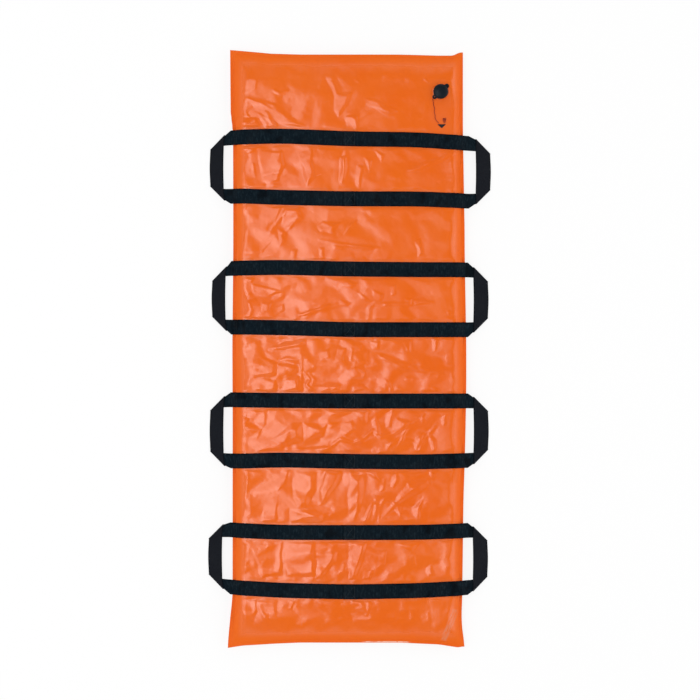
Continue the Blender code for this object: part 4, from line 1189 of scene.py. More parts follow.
# %% Handles
OUTER_X = {"left": (0.468, 0.4615, 0.468, 0.473), "right": (0.4738, 0.466, 0.4665, 0.464)}
LEG_START = 0.0028  # how far a leg starts inside the end of its run
LEG_DRAWS = {  # how far each handle's head leg and foot leg draw together before they fold
    "left": ((0.016, 0.012), (0.019, 0.013), (0.014, 0.008), (0.008, 0.018)),
    "right": ((0.0105, 0.016), (0.016, 0.0165), (0.0125, 0.0125), (0.013, 0.012)),
}
DRAW_FROM = 0.35  # share of a leg's length where its outer edge starts to turn in
GRIP_CURL = {"left": 0.003, "right": -0.001}  # how far the grip's inner edge stands outwards
CURL_OVER, SAG_OVER = 0.15, 0.25  # shares of the grip over which it curls and sags
SAG = 0.75  # share of a layer that the grip sags between its folds
GRIP_ARCH = 0.003
LAYER = WEBBING + GAP
LEG_SLOPE, GRIP_SLOPE = -0.80, -0.22
GRIP_FLOOR = 0.0021  # height of the strap's middle at the grip's outer edge
LEG_STATIONS, FOLD_STATIONS, GRIP_STATIONS = 18, 9, 41
FALL_X = np.linspace(0.38, 0.48, 101)  # places at which the fall's slope is worked out
LEG_THINNING = 0.12  # keeps a leg's start clear of the end of its run


def handle_fall(x, outer_x):
    """Height of the strap's middle past the weld: a cubic from the run's slope to the grip's."""
    span = outer_x - STRAP_EDGE
    t = (x - STRAP_EDGE) / span
    start = HINGE_Z * (2 * t ** 3 - 3 * t ** 2 + 1) + LEG_SLOPE * span * (t ** 3 - 2 * t ** 2 + t)
    end = GRIP_FLOOR * (3 * t ** 2 - 2 * t ** 3) + GRIP_SLOPE * span * (t ** 3 - t ** 2)
    return np.where(t < 0, HINGE_Z + LEG_SLOPE * (x - STRAP_EDGE), start + end)


def flat_handle(outer_x, legs, draws, curl):
    """The handle spread flat: for each cross line its ends as (out, along) pairs, its height over the lower
    layer, and how far its face has turned over, from 0 to half a turn. A leg's inner edge turns in with the
    cube of the way along it, its outer edge straight near the fold."""
    half, rows = WEBBING_WIDTH / 2, []
    for sign, leg_y, leg_draw in zip((1, -1), legs, draws):
        out = sign * np.array([0, half])
        start = np.array([STRAP_EDGE - LEG_START, leg_y])
        inner_end = np.array([outer_x, leg_y - sign * (half + leg_draw)])
        outer_end = np.array([outer_x - 2 * half, leg_y + sign * (half - leg_draw)])
        s = np.linspace(0, 1, LEG_STATIONS)
        late = np.clip((s - DRAW_FROM) / (1 - DRAW_FROM), 0, 1)
        inner = start - out + np.stack([s, s ** 3], -1) * (inner_end - start + out)
        outer = start + out + np.stack([s, late], -1) * (outer_end - start - out)
        turn = np.linspace(0, math.pi, FOLD_STATIONS)
        away = np.array([1, sign]) / math.sqrt(2) * LAYER / 2
        fold = np.sin(turn)[:, None] * away
        leg = (inner, outer, np.zeros(LEG_STATIONS), np.zeros(LEG_STATIONS))
        crease = (inner_end + fold, outer_end + fold, LAYER / 2 * (1 - np.cos(turn)), turn)
        rows.append([np.concatenate([a, b[1:]]) for a, b in zip(leg, crease)])
    (head_inner, head_outer, head_up, head_turn), (foot_inner, foot_outer, foot_up, foot_turn) = rows
    s = np.linspace(0, 1, GRIP_STATIONS)[1:-1, None]
    arch = GRIP_ARCH * np.sin(math.pi * s) * [1, 0]
    grip_inner = head_inner[-1] + s * (foot_inner[-1] - head_inner[-1]) + arch
    curled = curl * ease((0.5 - abs(s - 0.5)) / CURL_OVER) * [1, 0]
    grip_outer = head_outer[-1] + s * (foot_outer[-1] - head_outer[-1]) + arch + curled
    sag = LAYER * (1 - SAG * ease((0.5 - abs(s[:, 0] - 0.5)) / SAG_OVER))
    return (np.concatenate([head_inner, grip_inner, foot_inner[::-1]]),
            np.concatenate([head_outer, grip_outer, foot_outer[::-1]]),
            np.concatenate([head_up, sag, foot_up[::-1]]),
            np.concatenate([head_turn, np.full(len(sag), math.pi), foot_turn[::-1]]))


def handle_piece(ring, side_name):
    """Lays the flat handle on its falling line and mirrors it to its side."""
    side = 1 if side_name == "right" else -1
    outer_x = OUTER_X[side_name][ring - 1]
    centre = RING_Y[ring - 1]
    legs = [float(strap_y((ring, end), side * STRAP_EDGE)) - centre for end in ("head", "foot")]
    inner, outer, up, turn = flat_handle(outer_x, legs, LEG_DRAWS[side_name][ring - 1], GRIP_CURL[side_name])
    slope = np.gradient(handle_fall(FALL_X, outer_x), 0.001)

    def lay(flat, height):
        x, y = flat.T
        fall = np.interp(x, FALL_X, slope)
        length = np.sqrt(1 + fall ** 2)
        z = handle_fall(x, outer_x) + height / length
        return np.stack([side * (x - height * fall / length), centre + y, z], -1), fall / length, 1 / length

    first, lean, level = lay(inner, up)
    second, _, _ = lay(outer, up)
    away = np.sign(inner[:, 1])
    normal = np.stack([side * (-lean * np.cos(turn) - np.sin(turn) / math.sqrt(2)),
                       -away * np.sin(turn) / math.sqrt(2), level * np.cos(turn)], -1)
    thick = WEBBING * (1 - LEG_THINNING * (first[:, 0] * side < STRAP_EDGE))
    body = f"loop_{ring}_{side_name}"
    piece = ribbon(body, first, second, normal, thick)
    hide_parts(f"handle_{ring}_{side_name}")
    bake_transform(piece)
    return piece


handles = [handle_piece(ring, side) for ring in range(1, 5) for side in ("left", "right")]
print("handles:", len(handles), " lowest point, mm:",
      round(min(v.co.z for piece in handles for v in piece.data.vertices) * 1000, 2))

# %% [markdown]
# ## Stitches
#
# The straps are tacked where they leave the deck, and the lap is sewn in a box with a cross. A stitch is
# a small spindle of thread along its row, and one array operation sets out hundreds of them.

# %% Stitches
STITCH, STITCH_PITCH, THREAD = 0.0030, 0.0040, 0.0009
SPINDLE_RINGS, SPINDLE_SIDES, SPINDLE_END = 5, 6, 0.25  # the last is the angle left off at each tip
SEAM_MARGIN = 0.005  # from the webbing's edge to the nearest row
TACK_ROWS = (-0.3845, -0.3785, 0.3785, 0.3845)
BOX_START, BOX_END = -0.015, 0.017
THREAD_RISE = 0.15  # share of the thread's thickness that its middle stands over the strap


def spindles(centres, directions, normals):
    """A spindle for each stitch: a half circle's cosine along it, and its sine as the radius."""
    bend, turn = np.meshgrid(np.linspace(SPINDLE_END, math.pi - SPINDLE_END, SPINDLE_RINGS),
                             np.arange(SPINDLE_SIDES) * 2 * math.pi / SPINDLE_SIDES, indexing="ij")
    lengthwise = np.cos(bend) * STITCH / 2
    radius = np.sin(bend) * THREAD / 2
    across = np.cross(normals, directions)
    points = (centres[:, None, None] + lengthwise[None, ..., None] * directions[:, None, None]
              + (radius * np.cos(turn))[None, ..., None] * across[:, None, None]
              + (radius * np.sin(turn))[None, ..., None] * normals[:, None, None])
    faces = []
    for stitch in range(len(centres)):
        start, end = stitch * bend.size, (stitch + 1) * bend.size
        faces += grid_faces(SPINDLE_RINGS, SPINDLE_SIDES, close_columns=True, start=start).tolist()
        faces += [list(range(start, start + SPINDLE_SIDES)),
                  list(range(end - 1, end - SPINDLE_SIDES - 1, -1))]
    return points.reshape(-1, 3), faces


def stitch_row(start, end):
    """Middles and directions, in plan, of the stitches of a straight row."""
    start, end = np.array(start, float), np.array(end, float)
    length = np.linalg.norm(end - start)
    count = max(2, round(length / STITCH_PITCH))
    share = (np.arange(count) + 0.5) / count
    return start + share[:, None] * (end - start), np.tile((end - start) / length, (count, 1))


def run_stitches(run):
    """Rows of one run: two tack rows near each edge, and the box with its cross on the lap."""
    half = WEBBING_WIDTH / 2 - SEAM_MARGIN
    rows = [[(x, -half), (x, half)] for x in TACK_ROWS]
    box = [(BOX_START, -half), (BOX_END, -half), (BOX_END, half), (BOX_START, half)]
    rows += [[a, b] for a, b in zip(box, box[1:] + box[:1])] + [[box[0], box[2]], [box[1], box[3]]]
    places, directions = (np.concatenate(part) for part in zip(*(stitch_row(*row) for row in rows)))
    x = places[:, 0]
    lapped = abs(x) < LAP / 2
    z = strap_under(x) + WEBBING + lapped * (WEBBING + GAP) + THREAD * THREAD_RISE
    slope = (strap_under(x + 0.0005) - strap_under(x - 0.0005)) / 0.001 * ~lapped
    length = np.sqrt(1 + slope ** 2)
    normals = np.stack([-slope / length, np.zeros(len(x)), 1 / length], -1)
    lay = np.stack([directions[:, 0] / length, directions[:, 1], directions[:, 0] * slope / length], -1)
    return np.stack([x, strap_y(run, x) + places[:, 1], z], -1), lay, normals


stitching = []
for ring in range(1, 5):
    parts = [run_stitches((ring, end)) for end in ("head", "foot")]
    piece = new_piece(f"stitching_{ring}", *spindles(*(np.concatenate(part) for part in zip(*parts))))
    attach(piece, "mattress")
    stitching.append(piece)
print("stitches' faces in a ring:", len(stitching[0].data.polygons))

# %% [markdown]
# ## Turned pieces of the valve
#
# A turned piece is a profile swept round an upright axis. Here the radius may also depend on the angle,
# so one surface can be a dome and a plate with two lugs. The rows run from the axis on top, down the
# outside and back to the axis below.

# %% Turned surface
TURN_STATIONS = 192
CORNER_STEPS = 4


def even_angles():
    return np.arange(TURN_STATIONS) * 2 * math.pi / TURN_STATIONS


def turned(name, radii, heights, centre=(VALVE_X, VALVE_Y), hole=False, angle=even_angles()):
    """A surface from rows of radii, one for each angle, and a height for each row. A fan closes the first
    and the last row; with a hole, the last row joins the first instead."""
    rows = len(heights)
    radii = np.broadcast_to(np.asarray(radii, float), (rows, TURN_STATIONS))
    points = np.stack([centre[0] + radii * np.cos(angle), centre[1] + radii * np.sin(angle),
                       np.broadcast_to(np.reshape(heights, (-1, 1)), radii.shape)], -1).reshape(-1, 3)
    faces = grid_faces(rows, TURN_STATIONS, close_rows=hole, close_columns=True).tolist()
    if not hole:
        points = np.vstack([points, [*centre, heights[0]], [*centre, heights[-1]]])
        ring = np.arange(TURN_STATIONS)
        following = np.roll(ring, -1)
        last = (rows - 1) * TURN_STATIONS
        faces += np.stack([ring, following, np.full(len(ring), len(points) - 2)], -1).tolist()
        faces += np.stack([last + following, last + ring, np.full(len(ring), len(points) - 1)], -1).tolist()
    return new_piece(name, points, faces)


def corner(start, bend, end):
    """Points of a rounded corner between two points, as a quadratic curve that is drawn to the bend."""
    t = np.linspace(0, 1, CORNER_STEPS + 1)[:, None]
    start, bend, end = (np.array(point, float) for point in (start, bend, end))
    return (1 - t) ** 2 * start + 2 * t * (1 - t) * bend + t ** 2 * end


# %% [markdown]
# ## The rubber cap
#
# The cap is a moulded dome over the neck, with a bead round its foot and a shallow ring on top. Two lugs
# stand out at a slant: a thumb pulls one, and the tether is tied through the eye in the other.

# %% Cap
CAP_RADIUS, CAP_WALL = 0.0243, 0.0018
CAP_FOOT, CAP_SHOULDER, CAP_CEILING, CAP_CROWN = 0.0018, 0.0085, 0.0131, 0.0169  # heights over the deck
CEILING_RADIUS = 0.0168
DOME_START, DOME_ROWS, DOME_POWER = 0.04, 18, 0.8
RING_RADIUS, RING_HALF, RING_DEPTH = 0.0135, 0.0008, 0.0004  # the shallow ring on top
BEAD, FOOT_EDGE_ROUND = 0.0016, 0.0008
LUG_ANGLE, LUG_REACH, LUG_HALF, LUG = math.radians(42), 0.034, 0.0072, 0.0028
EYE_RADIUS, EYE_INSET, EYE_SIDES = 0.0022, 0.0060, 24
LUG_CORNER = 0.0014  # softness where a lug meets the round
LUG_CROWDING = 0.35  # how far the stations crowd towards the lugs, in radians


def lug_radius(angle):
    """Radius of the cap's foot with its two lugs: a lug's round end, its straight side, then the cap's own
    circle, in a soft maximum."""
    ends = LUG_REACH - LUG_HALF
    turn = np.arccos(np.abs(np.cos(angle - LUG_ANGLE)))
    round_end = ends * np.cos(turn) + np.sqrt(np.maximum(LUG_HALF ** 2 - (ends * np.sin(turn)) ** 2, 0))
    bar_side = LUG_HALF / np.maximum(np.sin(turn), 0.01)
    over = np.where(turn < math.atan2(LUG_HALF, ends), round_end, bar_side) - CAP_RADIUS
    return CAP_RADIUS + (over + np.sqrt(over ** 2 + LUG_CORNER ** 2)) / 2


def cap_rows():
    """Radius, height and share of the lug for each row: the dome is a raised ellipse, the rest straight."""
    turn = np.linspace(DOME_START, math.pi / 2, DOME_ROWS)
    dome = np.stack([CAP_RADIUS * np.sin(turn),
                     CAP_SHOULDER + (CAP_CROWN - CAP_SHOULDER) * np.cos(turn) ** DOME_POWER], -1)
    dome[:, 1] -= RING_DEPTH * np.exp(-((dome[:, 0] - RING_RADIUS) / RING_HALF) ** 2)
    plate, edge, inner = CAP_FOOT + LUG, CAP_RADIUS + FOOT_EDGE_ROUND, CAP_RADIUS - CAP_WALL
    bead = corner((CAP_RADIUS, plate + BEAD), (CAP_RADIUS, plate), (CAP_RADIUS + 0.0006, plate))
    above = corner((CAP_RADIUS, plate), (edge, plate), (edge, plate - FOOT_EDGE_ROUND))
    below = corner((edge, CAP_FOOT + FOOT_EDGE_ROUND), (edge, CAP_FOOT), (CAP_RADIUS, CAP_FOOT))
    inside = np.array([(inner, CAP_FOOT), (inner, CAP_SHOULDER), (CEILING_RADIUS, CAP_CEILING),
                       (0.001, CAP_CEILING)])
    return [(dome, 0), (bead, 0), (above, 1), (below, 1), (inside, 0)]


def valve_cap():
    angle = even_angles()
    angle = angle - LUG_CROWDING * np.sin(2 * (angle - LUG_ANGLE))
    extra = lug_radius(angle) - CAP_RADIUS
    radii = np.concatenate([points[:, :1] + share * extra for points, share in cap_rows()])
    heights = np.concatenate([points[:, 1] for points, _ in cap_rows()]) + DECK
    return turned("rubber_cap", radii, heights, angle=angle)


def with_hole(piece, centre, radius):
    """Cuts an upright round hole with a Boolean modifier and keeps the evaluated mesh."""
    turn = np.arange(EYE_SIDES) * 2 * math.pi / EYE_SIDES
    ring = np.stack([centre[0] + radius * np.cos(turn), centre[1] + radius * np.sin(turn)], -1)
    points = [(*p, DECK + z) for z in (-0.01, 0.03) for p in ring]
    faces = grid_faces(2, EYE_SIDES, close_columns=True).tolist()
    faces += [list(range(EYE_SIDES - 1, -1, -1)), list(range(EYE_SIDES, 2 * EYE_SIDES))]
    cutter = new_piece("hole", points, faces, smooth=False)
    cut = piece.modifiers.new("eye", "BOOLEAN")
    cut.operation, cut.solver, cut.object = "DIFFERENCE", "EXACT", cutter
    finished = bpy.data.meshes.new_from_object(piece.evaluated_get(bpy.context.evaluated_depsgraph_get()))
    piece.modifiers.clear()
    piece.data = finished
    bpy.data.objects.remove(cutter, do_unlink=True)
    return piece


eye = (VALVE_X - (LUG_REACH - EYE_INSET) * math.cos(LUG_ANGLE),
       VALVE_Y - (LUG_REACH - EYE_INSET) * math.sin(LUG_ANGLE))
rubber_cap = with_hole(valve_cap(), eye, EYE_RADIUS)
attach(rubber_cap, "cap")
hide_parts("valve_cap")
print("cap's points:", len(rubber_cap.data.vertices))

# %% [markdown]
# ## Patch, spring and tab
#
# A round patch of the same fabric is welded over the sheet under the cap, with two pressed rings. The
# spring is a wire on a helix; it shortens when the poppet lifts. The tab is a small webbing triangle sewn
# to the deck.

# %% Patch, spring and tab
PATCH_INNER, PATCH_RADIUS, PATCH_BOTTOM, PATCH_TOP = 0.0153, 0.029, 0.0003, 0.0015
PRESSED_RINGS, PRESSED_HALF, PRESSED_DEPTH = (0.0262, 0.0278), 0.0005, 0.00035
SPRING_TOP, SPRING_LENGTH, SPRING_RADIUS, SPRING_WIRE, SPRING_CURLS = -0.0023, 0.011, 0.0045, 0.0009, 4
CURL_STEPS = 24
TUBE_SIDES = 10
TAB_CENTRE = (VALVE_X + 0.003, TAB_Y + 0.005)
TAB_SIDES = ((math.pi / 2, 0.0048), (math.radians(-47), 0.0062), (math.radians(227), 0.0062))  # way, distance
TAB_ROUND = 9  # power of the mean: a higher one makes sharper corners
TAB_PROFILE = ((0.1, 0.0017), (0.5, 0.0017), (0.88, 0.0017), (0.96, 0.0016), (1.0, 0.0012), (1.0, 0.0006),
               (0.97, 0.0003))  # share of the outline, and height


def weld_patch():
    """A flat ring: its top carries two pressed grooves, each a narrow bell curve deep."""
    flat = np.linspace(PATCH_INNER, PATCH_RADIUS - 0.0008, 40)
    radius = np.concatenate([flat, [PATCH_RADIUS - 0.0003, PATCH_RADIUS]])
    grooves = sum(np.exp(-((radius - ring) / PRESSED_HALF) ** 2) for ring in PRESSED_RINGS)
    top = PATCH_TOP - PRESSED_DEPTH * grooves
    top[-2:] = PATCH_TOP - 0.0002, PATCH_TOP - 0.0006
    rows = [(PATCH_INNER, PATCH_BOTTOM)] + list(zip(radius, top)) + [(PATCH_RADIUS, PATCH_BOTTOM)]
    radii, heights = np.array(rows).T
    return turned("welded_patch", radii[:, None], heights + DECK, hole=True)


def tube(name, path, radius):
    """A tube round a path: each ring is a circle square to the path, turned by one fixed direction."""
    path = np.asarray(path, float)
    heading = np.gradient(path, axis=0)
    heading /= np.linalg.norm(heading, axis=1, keepdims=True)
    side = np.cross(heading, [0.31, 0.17, 0.94])
    side /= np.linalg.norm(side, axis=1, keepdims=True)
    up = np.cross(side, heading)
    turn = np.arange(TUBE_SIDES) * 2 * math.pi / TUBE_SIDES
    points = path[:, None] + radius * (np.cos(turn)[None, :, None] * side[:, None]
                                       + np.sin(turn)[None, :, None] * up[:, None])
    faces = grid_faces(len(path), TUBE_SIDES, close_columns=True).tolist()
    last = (len(path) - 1) * TUBE_SIDES
    faces += [list(range(TUBE_SIDES)), list(range(last + TUBE_SIDES - 1, last - 1, -1))]
    along = np.append(0, np.cumsum(np.linalg.norm(np.diff(path, axis=0), axis=1)))
    uv = np.stack([np.repeat(along, TUBE_SIDES), np.tile(np.arange(TUBE_SIDES) / TUBE_SIDES, len(path))], -1)
    return new_piece(name, points.reshape(-1, 3), faces, uv)


def spring_path():
    """A helix down from the bridge: even turns at an even fall."""
    t = np.linspace(0, 1, SPRING_CURLS * CURL_STEPS + 1)
    turn = 2 * math.pi * SPRING_CURLS * t
    top, bottom = SPRING_TOP - SPRING_WIRE / 2, SPRING_TOP - SPRING_LENGTH + SPRING_WIRE / 2
    return np.stack([VALVE_X + SPRING_RADIUS * np.cos(turn), VALVE_Y + SPRING_RADIUS * np.sin(turn),
                     DECK + top + (bottom - top) * t], -1)


def webbing_tab():
    """A triangle with round corners: the distance to the nearest of its three sides at each angle, softened
    by a power mean."""
    angle = even_angles()
    inverse = sum((np.maximum(np.cos(angle - facing), 0) / distance) ** TAB_ROUND
                  for facing, distance in TAB_SIDES)
    outline = inverse ** (-1 / TAB_ROUND)
    share, height = np.array(TAB_PROFILE).T
    return turned("webbing_tab", share[:, None] * outline, height + DECK, centre=TAB_CENTRE)


welded_patch = weld_patch()
coil = tube("coil_spring", spring_path(), SPRING_WIRE / 2)
tab = webbing_tab()
for piece, node in ((welded_patch, "weld_patch"), (coil, "return_spring"), (tab, "tether_tab")):
    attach(piece, "mattress")
    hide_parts(node)
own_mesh(coil)

# %% [markdown]
# ## The tether
#
# A thin dark red cord keeps the cap with the mattress. It leaves the eye lug, comes down to the deck and
# lies in a slack line to the tab, where it ends in a knot. Its route is a smooth curve through listed
# points.

# %% Tether
TETHER_RADIUS = 0.001
TETHER_ROUTE = [  # from the valve's axis, between the two ends
    (-0.0266, -0.0258, 0.0026), (-0.0262, -0.0300, 0.0021), (-0.0246, -0.0360, 0.0016),
    (-0.0240, -0.0450, 0.0013), (-0.0206, -0.0560, 0.0013), (-0.0216, -0.0680, 0.0013),
    (-0.0188, -0.0800, 0.0013), (-0.0186, -0.0900, 0.0013), (-0.0134, -0.0985, 0.0014),
]
TETHER_END = (-0.0070, -0.1062, 0.0013)
ROUTE_SUBSTEPS = 8
KNOT_STEPS, KNOT_SCALE = 120, (0.0017, 0.0030, 0.0011)
KNOT_AT = (VALVE_X + 0.0125, TAB_Y + 0.0235, DECK + 0.0024)
KNOT_CORD = 0.95  # the knot is drawn tight


def smooth_route(points, substeps):
    """A curve through points: between two of them a cubic that starts and ends along the line between their
    neighbours."""
    points = np.asarray(points, float)
    padded = np.vstack([2 * points[0] - points[1], points, 2 * points[-1] - points[-2]])
    t = (np.arange(substeps) / substeps)[None, :, None]
    a, b, c, d = (padded[k:len(padded) - 3 + k, None] for k in range(4))
    square, cube = (2 * a - 5 * b + 4 * c - d) * t ** 2, (3 * b - a - 3 * c + d) * t ** 3
    fine = 0.5 * (2 * b + (c - a) * t + square + cube)
    return np.vstack([fine.reshape(-1, 3), points[-1]])


def knot_path():
    """A flattened overhand knot: the classic three-lobed closed curve, stretched along the cord's end."""
    t = np.linspace(0, 2 * math.pi, KNOT_STEPS + 1)[:-1]
    curve = np.stack([np.sin(t) + 2 * np.sin(2 * t), np.cos(t) - 2 * np.cos(2 * t), -np.sin(3 * t)], -1)
    return curve * KNOT_SCALE + KNOT_AT


lug_end = LUG_REACH + GAP
tether_start = (-lug_end * math.cos(LUG_ANGLE), -lug_end * math.sin(LUG_ANGLE), CAP_FOOT + LUG / 2)
tether_path = smooth_route([tether_start] + TETHER_ROUTE + [TETHER_END], ROUTE_SUBSTEPS)
tether_path += (VALVE_X, VALVE_Y, DECK)
tether = tube("cap_tether", tether_path, TETHER_RADIUS)
knot = knot_path()
tether_knot = tube("tether_knot", np.vstack([knot, knot[:1]]), TETHER_RADIUS * KNOT_CORD)
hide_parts("tether_cord")
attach(tether_knot, "mattress")
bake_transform(tether)
print("tether's length, m:", round(float(np.linalg.norm(np.diff(tether_path, axis=0), axis=1).sum()), 4))

# %% [markdown]
# ## Orange coated fabric
#
# The bag is a tough fabric with a glossy plastic coating. Most of its character is in the gloss: a broad
# sheen over a very fine weave, duller where it is scuffed. The colour hardly changes: a little deeper in
# the welded rim, and greyer where it has been dragged. A pale line along part of the foot end's edge is a
# painted highlight.

# %% Orange fabric
ORANGE, OTHER_ORANGE, DEEP_ORANGE = (0.83, 0.136, 0.005), (0.82, 0.125, 0.003), (0.80, 0.108, 0.002)
# The pale colour beside the scuff grey is a painted highlight along part of the foot end's edge.
SCUFF_GREY, HIGHLIGHT_PALE = (0.62, 0.30, 0.20), (0.90, 0.55, 0.42)
FABRIC_DUST = (0.80, 0.34, 0.20)
SCUFF_PLACE, SCUFF_TURN, SCUFF_HALF = (0.336, -0.926), math.radians(22), (0.006, 0.052)
SCUFF_SHARE, WEAR_SHARE = 0.40, 0.12
GLOSSY, RUB_ROUGHER, RIM_ROUGHER = (0.17, 0.27), 0.35, 0.30  # roughness, and what is added to it
RIM_FADE = (0.016, 0.046)  # the matt rim ends between these insets
SHEET_SHINE, RIM_SHINE = 0.60, 0.16
# The painted highlight at the foot: its inset, and the part of the foot where it lies.
HIGHLIGHT_INSET, HIGHLIGHT_FROM, HIGHLIGHT_TO = 0.0034, (0.055, -1.02), (0.190, -0.96)  # inset, and the part of the foot
WEAVE_SHARE, FABRIC_DEPTH = 0.35, 0.00003


def box_mask(tree, place, low, high, soft):
    """1 inside an upright box in plan, easing out over a soft border."""
    axes = axes_of(tree, place)
    mask = None
    for axis, start, end in (("X", low[0], high[0]), ("Y", low[1], high[1])):
        inside = times(tree, ramp(tree, axes[axis], start - soft, start),
                       ramp(tree, axes[axis], end, end + soft, 1.0, 0.0))
        mask = inside if mask is None else times(tree, mask, inside)
    return mask


def moved(tree, place, location=(0, 0, 0), turn=0.0, scale=(1, 1, 1)):
    """The coordinates of a pattern that is laid at a place, turned about the upright axis and stretched."""
    inputs = {"Vector": place, "Location": location, "Rotation": (0, 0, turn), "Scale": scale}
    return add_node(tree, "ShaderNodeMapping", inputs, vector_type="TEXTURE").outputs["Vector"]


def streaks(tree, place, turn, scale, low, high):
    """Thin broken lines at an angle: noise that is stretched along one direction."""
    return ramp(tree, noise(tree, moved(tree, place, turn=turn, scale=scale), 1.0, 4.0, 0.65), low, high)


def painted_foot_highlight(tree, place, inset_value):
    """A painted highlight on the foot end's weld: a thin broken pale line near the edge."""
    line = ramp(tree, math_node(tree, "ABSOLUTE", math_node(tree, "SUBTRACT", inset_value, HIGHLIGHT_INSET)),
                0.0010, 0.0022, 1.0, 0.0)
    here = box_mask(tree, place, HIGHLIGHT_FROM, HIGHLIGHT_TO, 0.02)
    broken = ramp(tree, noise(tree, place, 60.0, 3.0), 0.40, 0.55, 0.35, 1.0)
    return times(tree, line, times(tree, here, broken))


def orange_fabric(name, welded_rim):
    mat, tree, shader, place = new_material(name, specular=0.5)
    tone = ramp(tree, noise(tree, place, 5.0, 4.0, 0.6), 0.3, 0.7)
    colour = mix_colour(tree, tone, ORANGE, OTHER_ORANGE)
    scuff_place = moved(tree, place, location=(*SCUFF_PLACE, 0), turn=-SCUFF_TURN)
    scuffs = times(tree, box_mask(tree, scuff_place, [-h for h in SCUFF_HALF], SCUFF_HALF, 0.008),
                   streaks(tree, scuff_place, 0.0, (0.004, 0.05, 0.05), 0.40, 0.58))
    wear = streaks(tree, place, 0.35, (0.11, 0.014, 0.025), 0.66, 0.80)
    rubbed = plus(tree, times(tree, scuffs, SCUFF_SHARE), times(tree, wear, WEAR_SHARE), clamp=True)
    if welded_rim:
        inset_value = add_node(tree, "ShaderNodeAttribute", attribute_name="inset").outputs["Fac"]
        colour = mix_colour(tree, ramp(tree, inset_value, 0.004, 0.022, 0.45, 0.0), colour, DEEP_ORANGE)
        # Painted highlight: a pale broken line along part of the foot end's edge.
        colour = mix_colour(tree, painted_foot_highlight(tree, place, inset_value), colour, HIGHLIGHT_PALE)
    colour = mix_colour(tree, rubbed, colour, SCUFF_GREY)
    tree.links.new(dusted(tree, place, colour, FABRIC_DUST, 7.0, 0.02), shader.inputs["Base Color"])
    rough = plus(tree, ramp(tree, noise(tree, place, 14.0, 4.0, 0.6), 0.3, 0.7, *GLOSSY),
                 times(tree, rubbed, RUB_ROUGHER))
    if welded_rim:
        matt = ramp(tree, inset_value, *RIM_FADE, 1.0, 0.0)
        rough = plus(tree, rough, times(tree, matt, RIM_ROUGHER))
        shine = ramp(tree, matt, 0.0, 1.0, SHEET_SHINE, RIM_SHINE)
        tree.links.new(shine, shader.inputs["Specular IOR Level"])
    tree.links.new(rough, shader.inputs["Roughness"])
    skin = plus(tree, times(tree, weave(tree, place, 620.0, 620.0), WEAVE_SHARE),
                times(tree, grain(tree, place, 260.0), 1 - WEAVE_SHARE))
    bump(tree, shader, skin, FABRIC_DEPTH)
    return mat


fabric = orange_fabric("orange_coated_fabric", welded_rim=True)
patch_fabric = orange_fabric("orange_patch", welded_rim=False)
dress(bag_upper, fabric)
dress(bag_lower, fabric)
dress(welded_patch, patch_fabric)
print("fabric nodes:", len(fabric.node_tree.nodes))

# %% [markdown]
# ## Black webbing and thread
#
# The webbing is a heavy flat weave in black with a cold cast on its face, and a plainer, slightly purple
# back. Its pattern follows the strap, so it reads the ribbon's own UV map, in metres along and across.

# %% Webbing
FACE_BLACK, FACE_LIGHT = (0.0022, 0.0063, 0.0108), (0.0108, 0.0212, 0.0288)
# The darkest black is painted shade, in a line across the strap at the tack.
FACE_DEEP, TACK_SHADE = (0.0009, 0.0022, 0.0042), (0.0006, 0.0008, 0.0012)
BACK_BLACK, WORN_BLACK = (0.0110, 0.0112, 0.0150), (0.020, 0.022, 0.025)
CORD_DARK, CORD_RED, CORD_DUST = (0.10, 0.008, 0.006), (0.55, 0.050, 0.014), (0.35, 0.12, 0.09)
RIB_PITCH = 0.0062
FLECK_PITCH = 0.0055  # along the cord and the webbing
SELVAGE_FADE = (0.0195, 0.0235)  # the edge darkens between these distances from the middle line


def webbing_material():
    mat, tree, shader, place = new_material("black_webbing", specular=0.03)
    strap = add_node(tree, "ShaderNodeUVMap", uv_map="along").outputs["UV"]
    back = add_node(tree, "ShaderNodeAttribute", attribute_name="reverse").outputs["Fac"]
    axes = axes_of(tree, strap)
    height = weave(tree, strap, 380.0, 520.0)
    ribs = math_node(tree, "SINE", times(tree, axes["Y"], 2 * math.pi / RIB_PITCH))
    height = plus(tree, times(tree, height, 0.8), times(tree, ribs, 0.15))
    patches = noise(tree, moved(tree, place, scale=(0.040, 0.06, 0.06)), 1.0, 3.0, 0.6)
    flecks = noise(tree, moved(tree, strap, scale=(FLECK_PITCH, 0.018, 1.0)), 1.0, 2.0, 0.7)
    pale = times(tree, ramp(tree, flecks, 0.46, 0.66), ramp(tree, patches, 0.38, 0.56, 0.25, 0.8))
    face = mix_colour(tree, pale, FACE_BLACK, FACE_LIGHT)
    face = mix_colour(tree, ramp(tree, patches, 0.46, 0.34), face, FACE_DEEP)
    colour = mix_colour(tree, back, face, BACK_BLACK)
    yarn = ramp(tree, noise(tree, strap, 420.0, 3.0, 0.7), 0.42, 0.70)
    colour = mix_colour(tree, times(tree, yarn, 0.45), colour, FACE_LIGHT)
    edge = ramp(tree, math_node(tree, "ABSOLUTE", axes["Y"]), *SELVAGE_FADE)
    selvage = times(tree, edge, ramp(tree, noise(tree, strap, 240.0, 3.0), 0.35, 0.6, 0.9, 0.35))
    colour = mix_colour(tree, selvage, colour, FACE_DEEP)
    # Painted shade: a dark line across the strap at the tack.
    tack = add_node(tree, "ShaderNodeAttribute", attribute_name="tack").outputs["Fac"]
    colour = mix_colour(tree, times(tree, tack, 0.9), colour, TACK_SHADE)
    tree.links.new(dusted(tree, place, colour, WORN_BLACK, 16.0, 0.16), shader.inputs["Base Color"])
    rough = ramp(tree, noise(tree, place, 30.0, 3.0), 0.3, 0.7, 0.62, 0.82)
    tree.links.new(rough, shader.inputs["Roughness"])
    bump(tree, shader, height, 0.0005)
    return mat


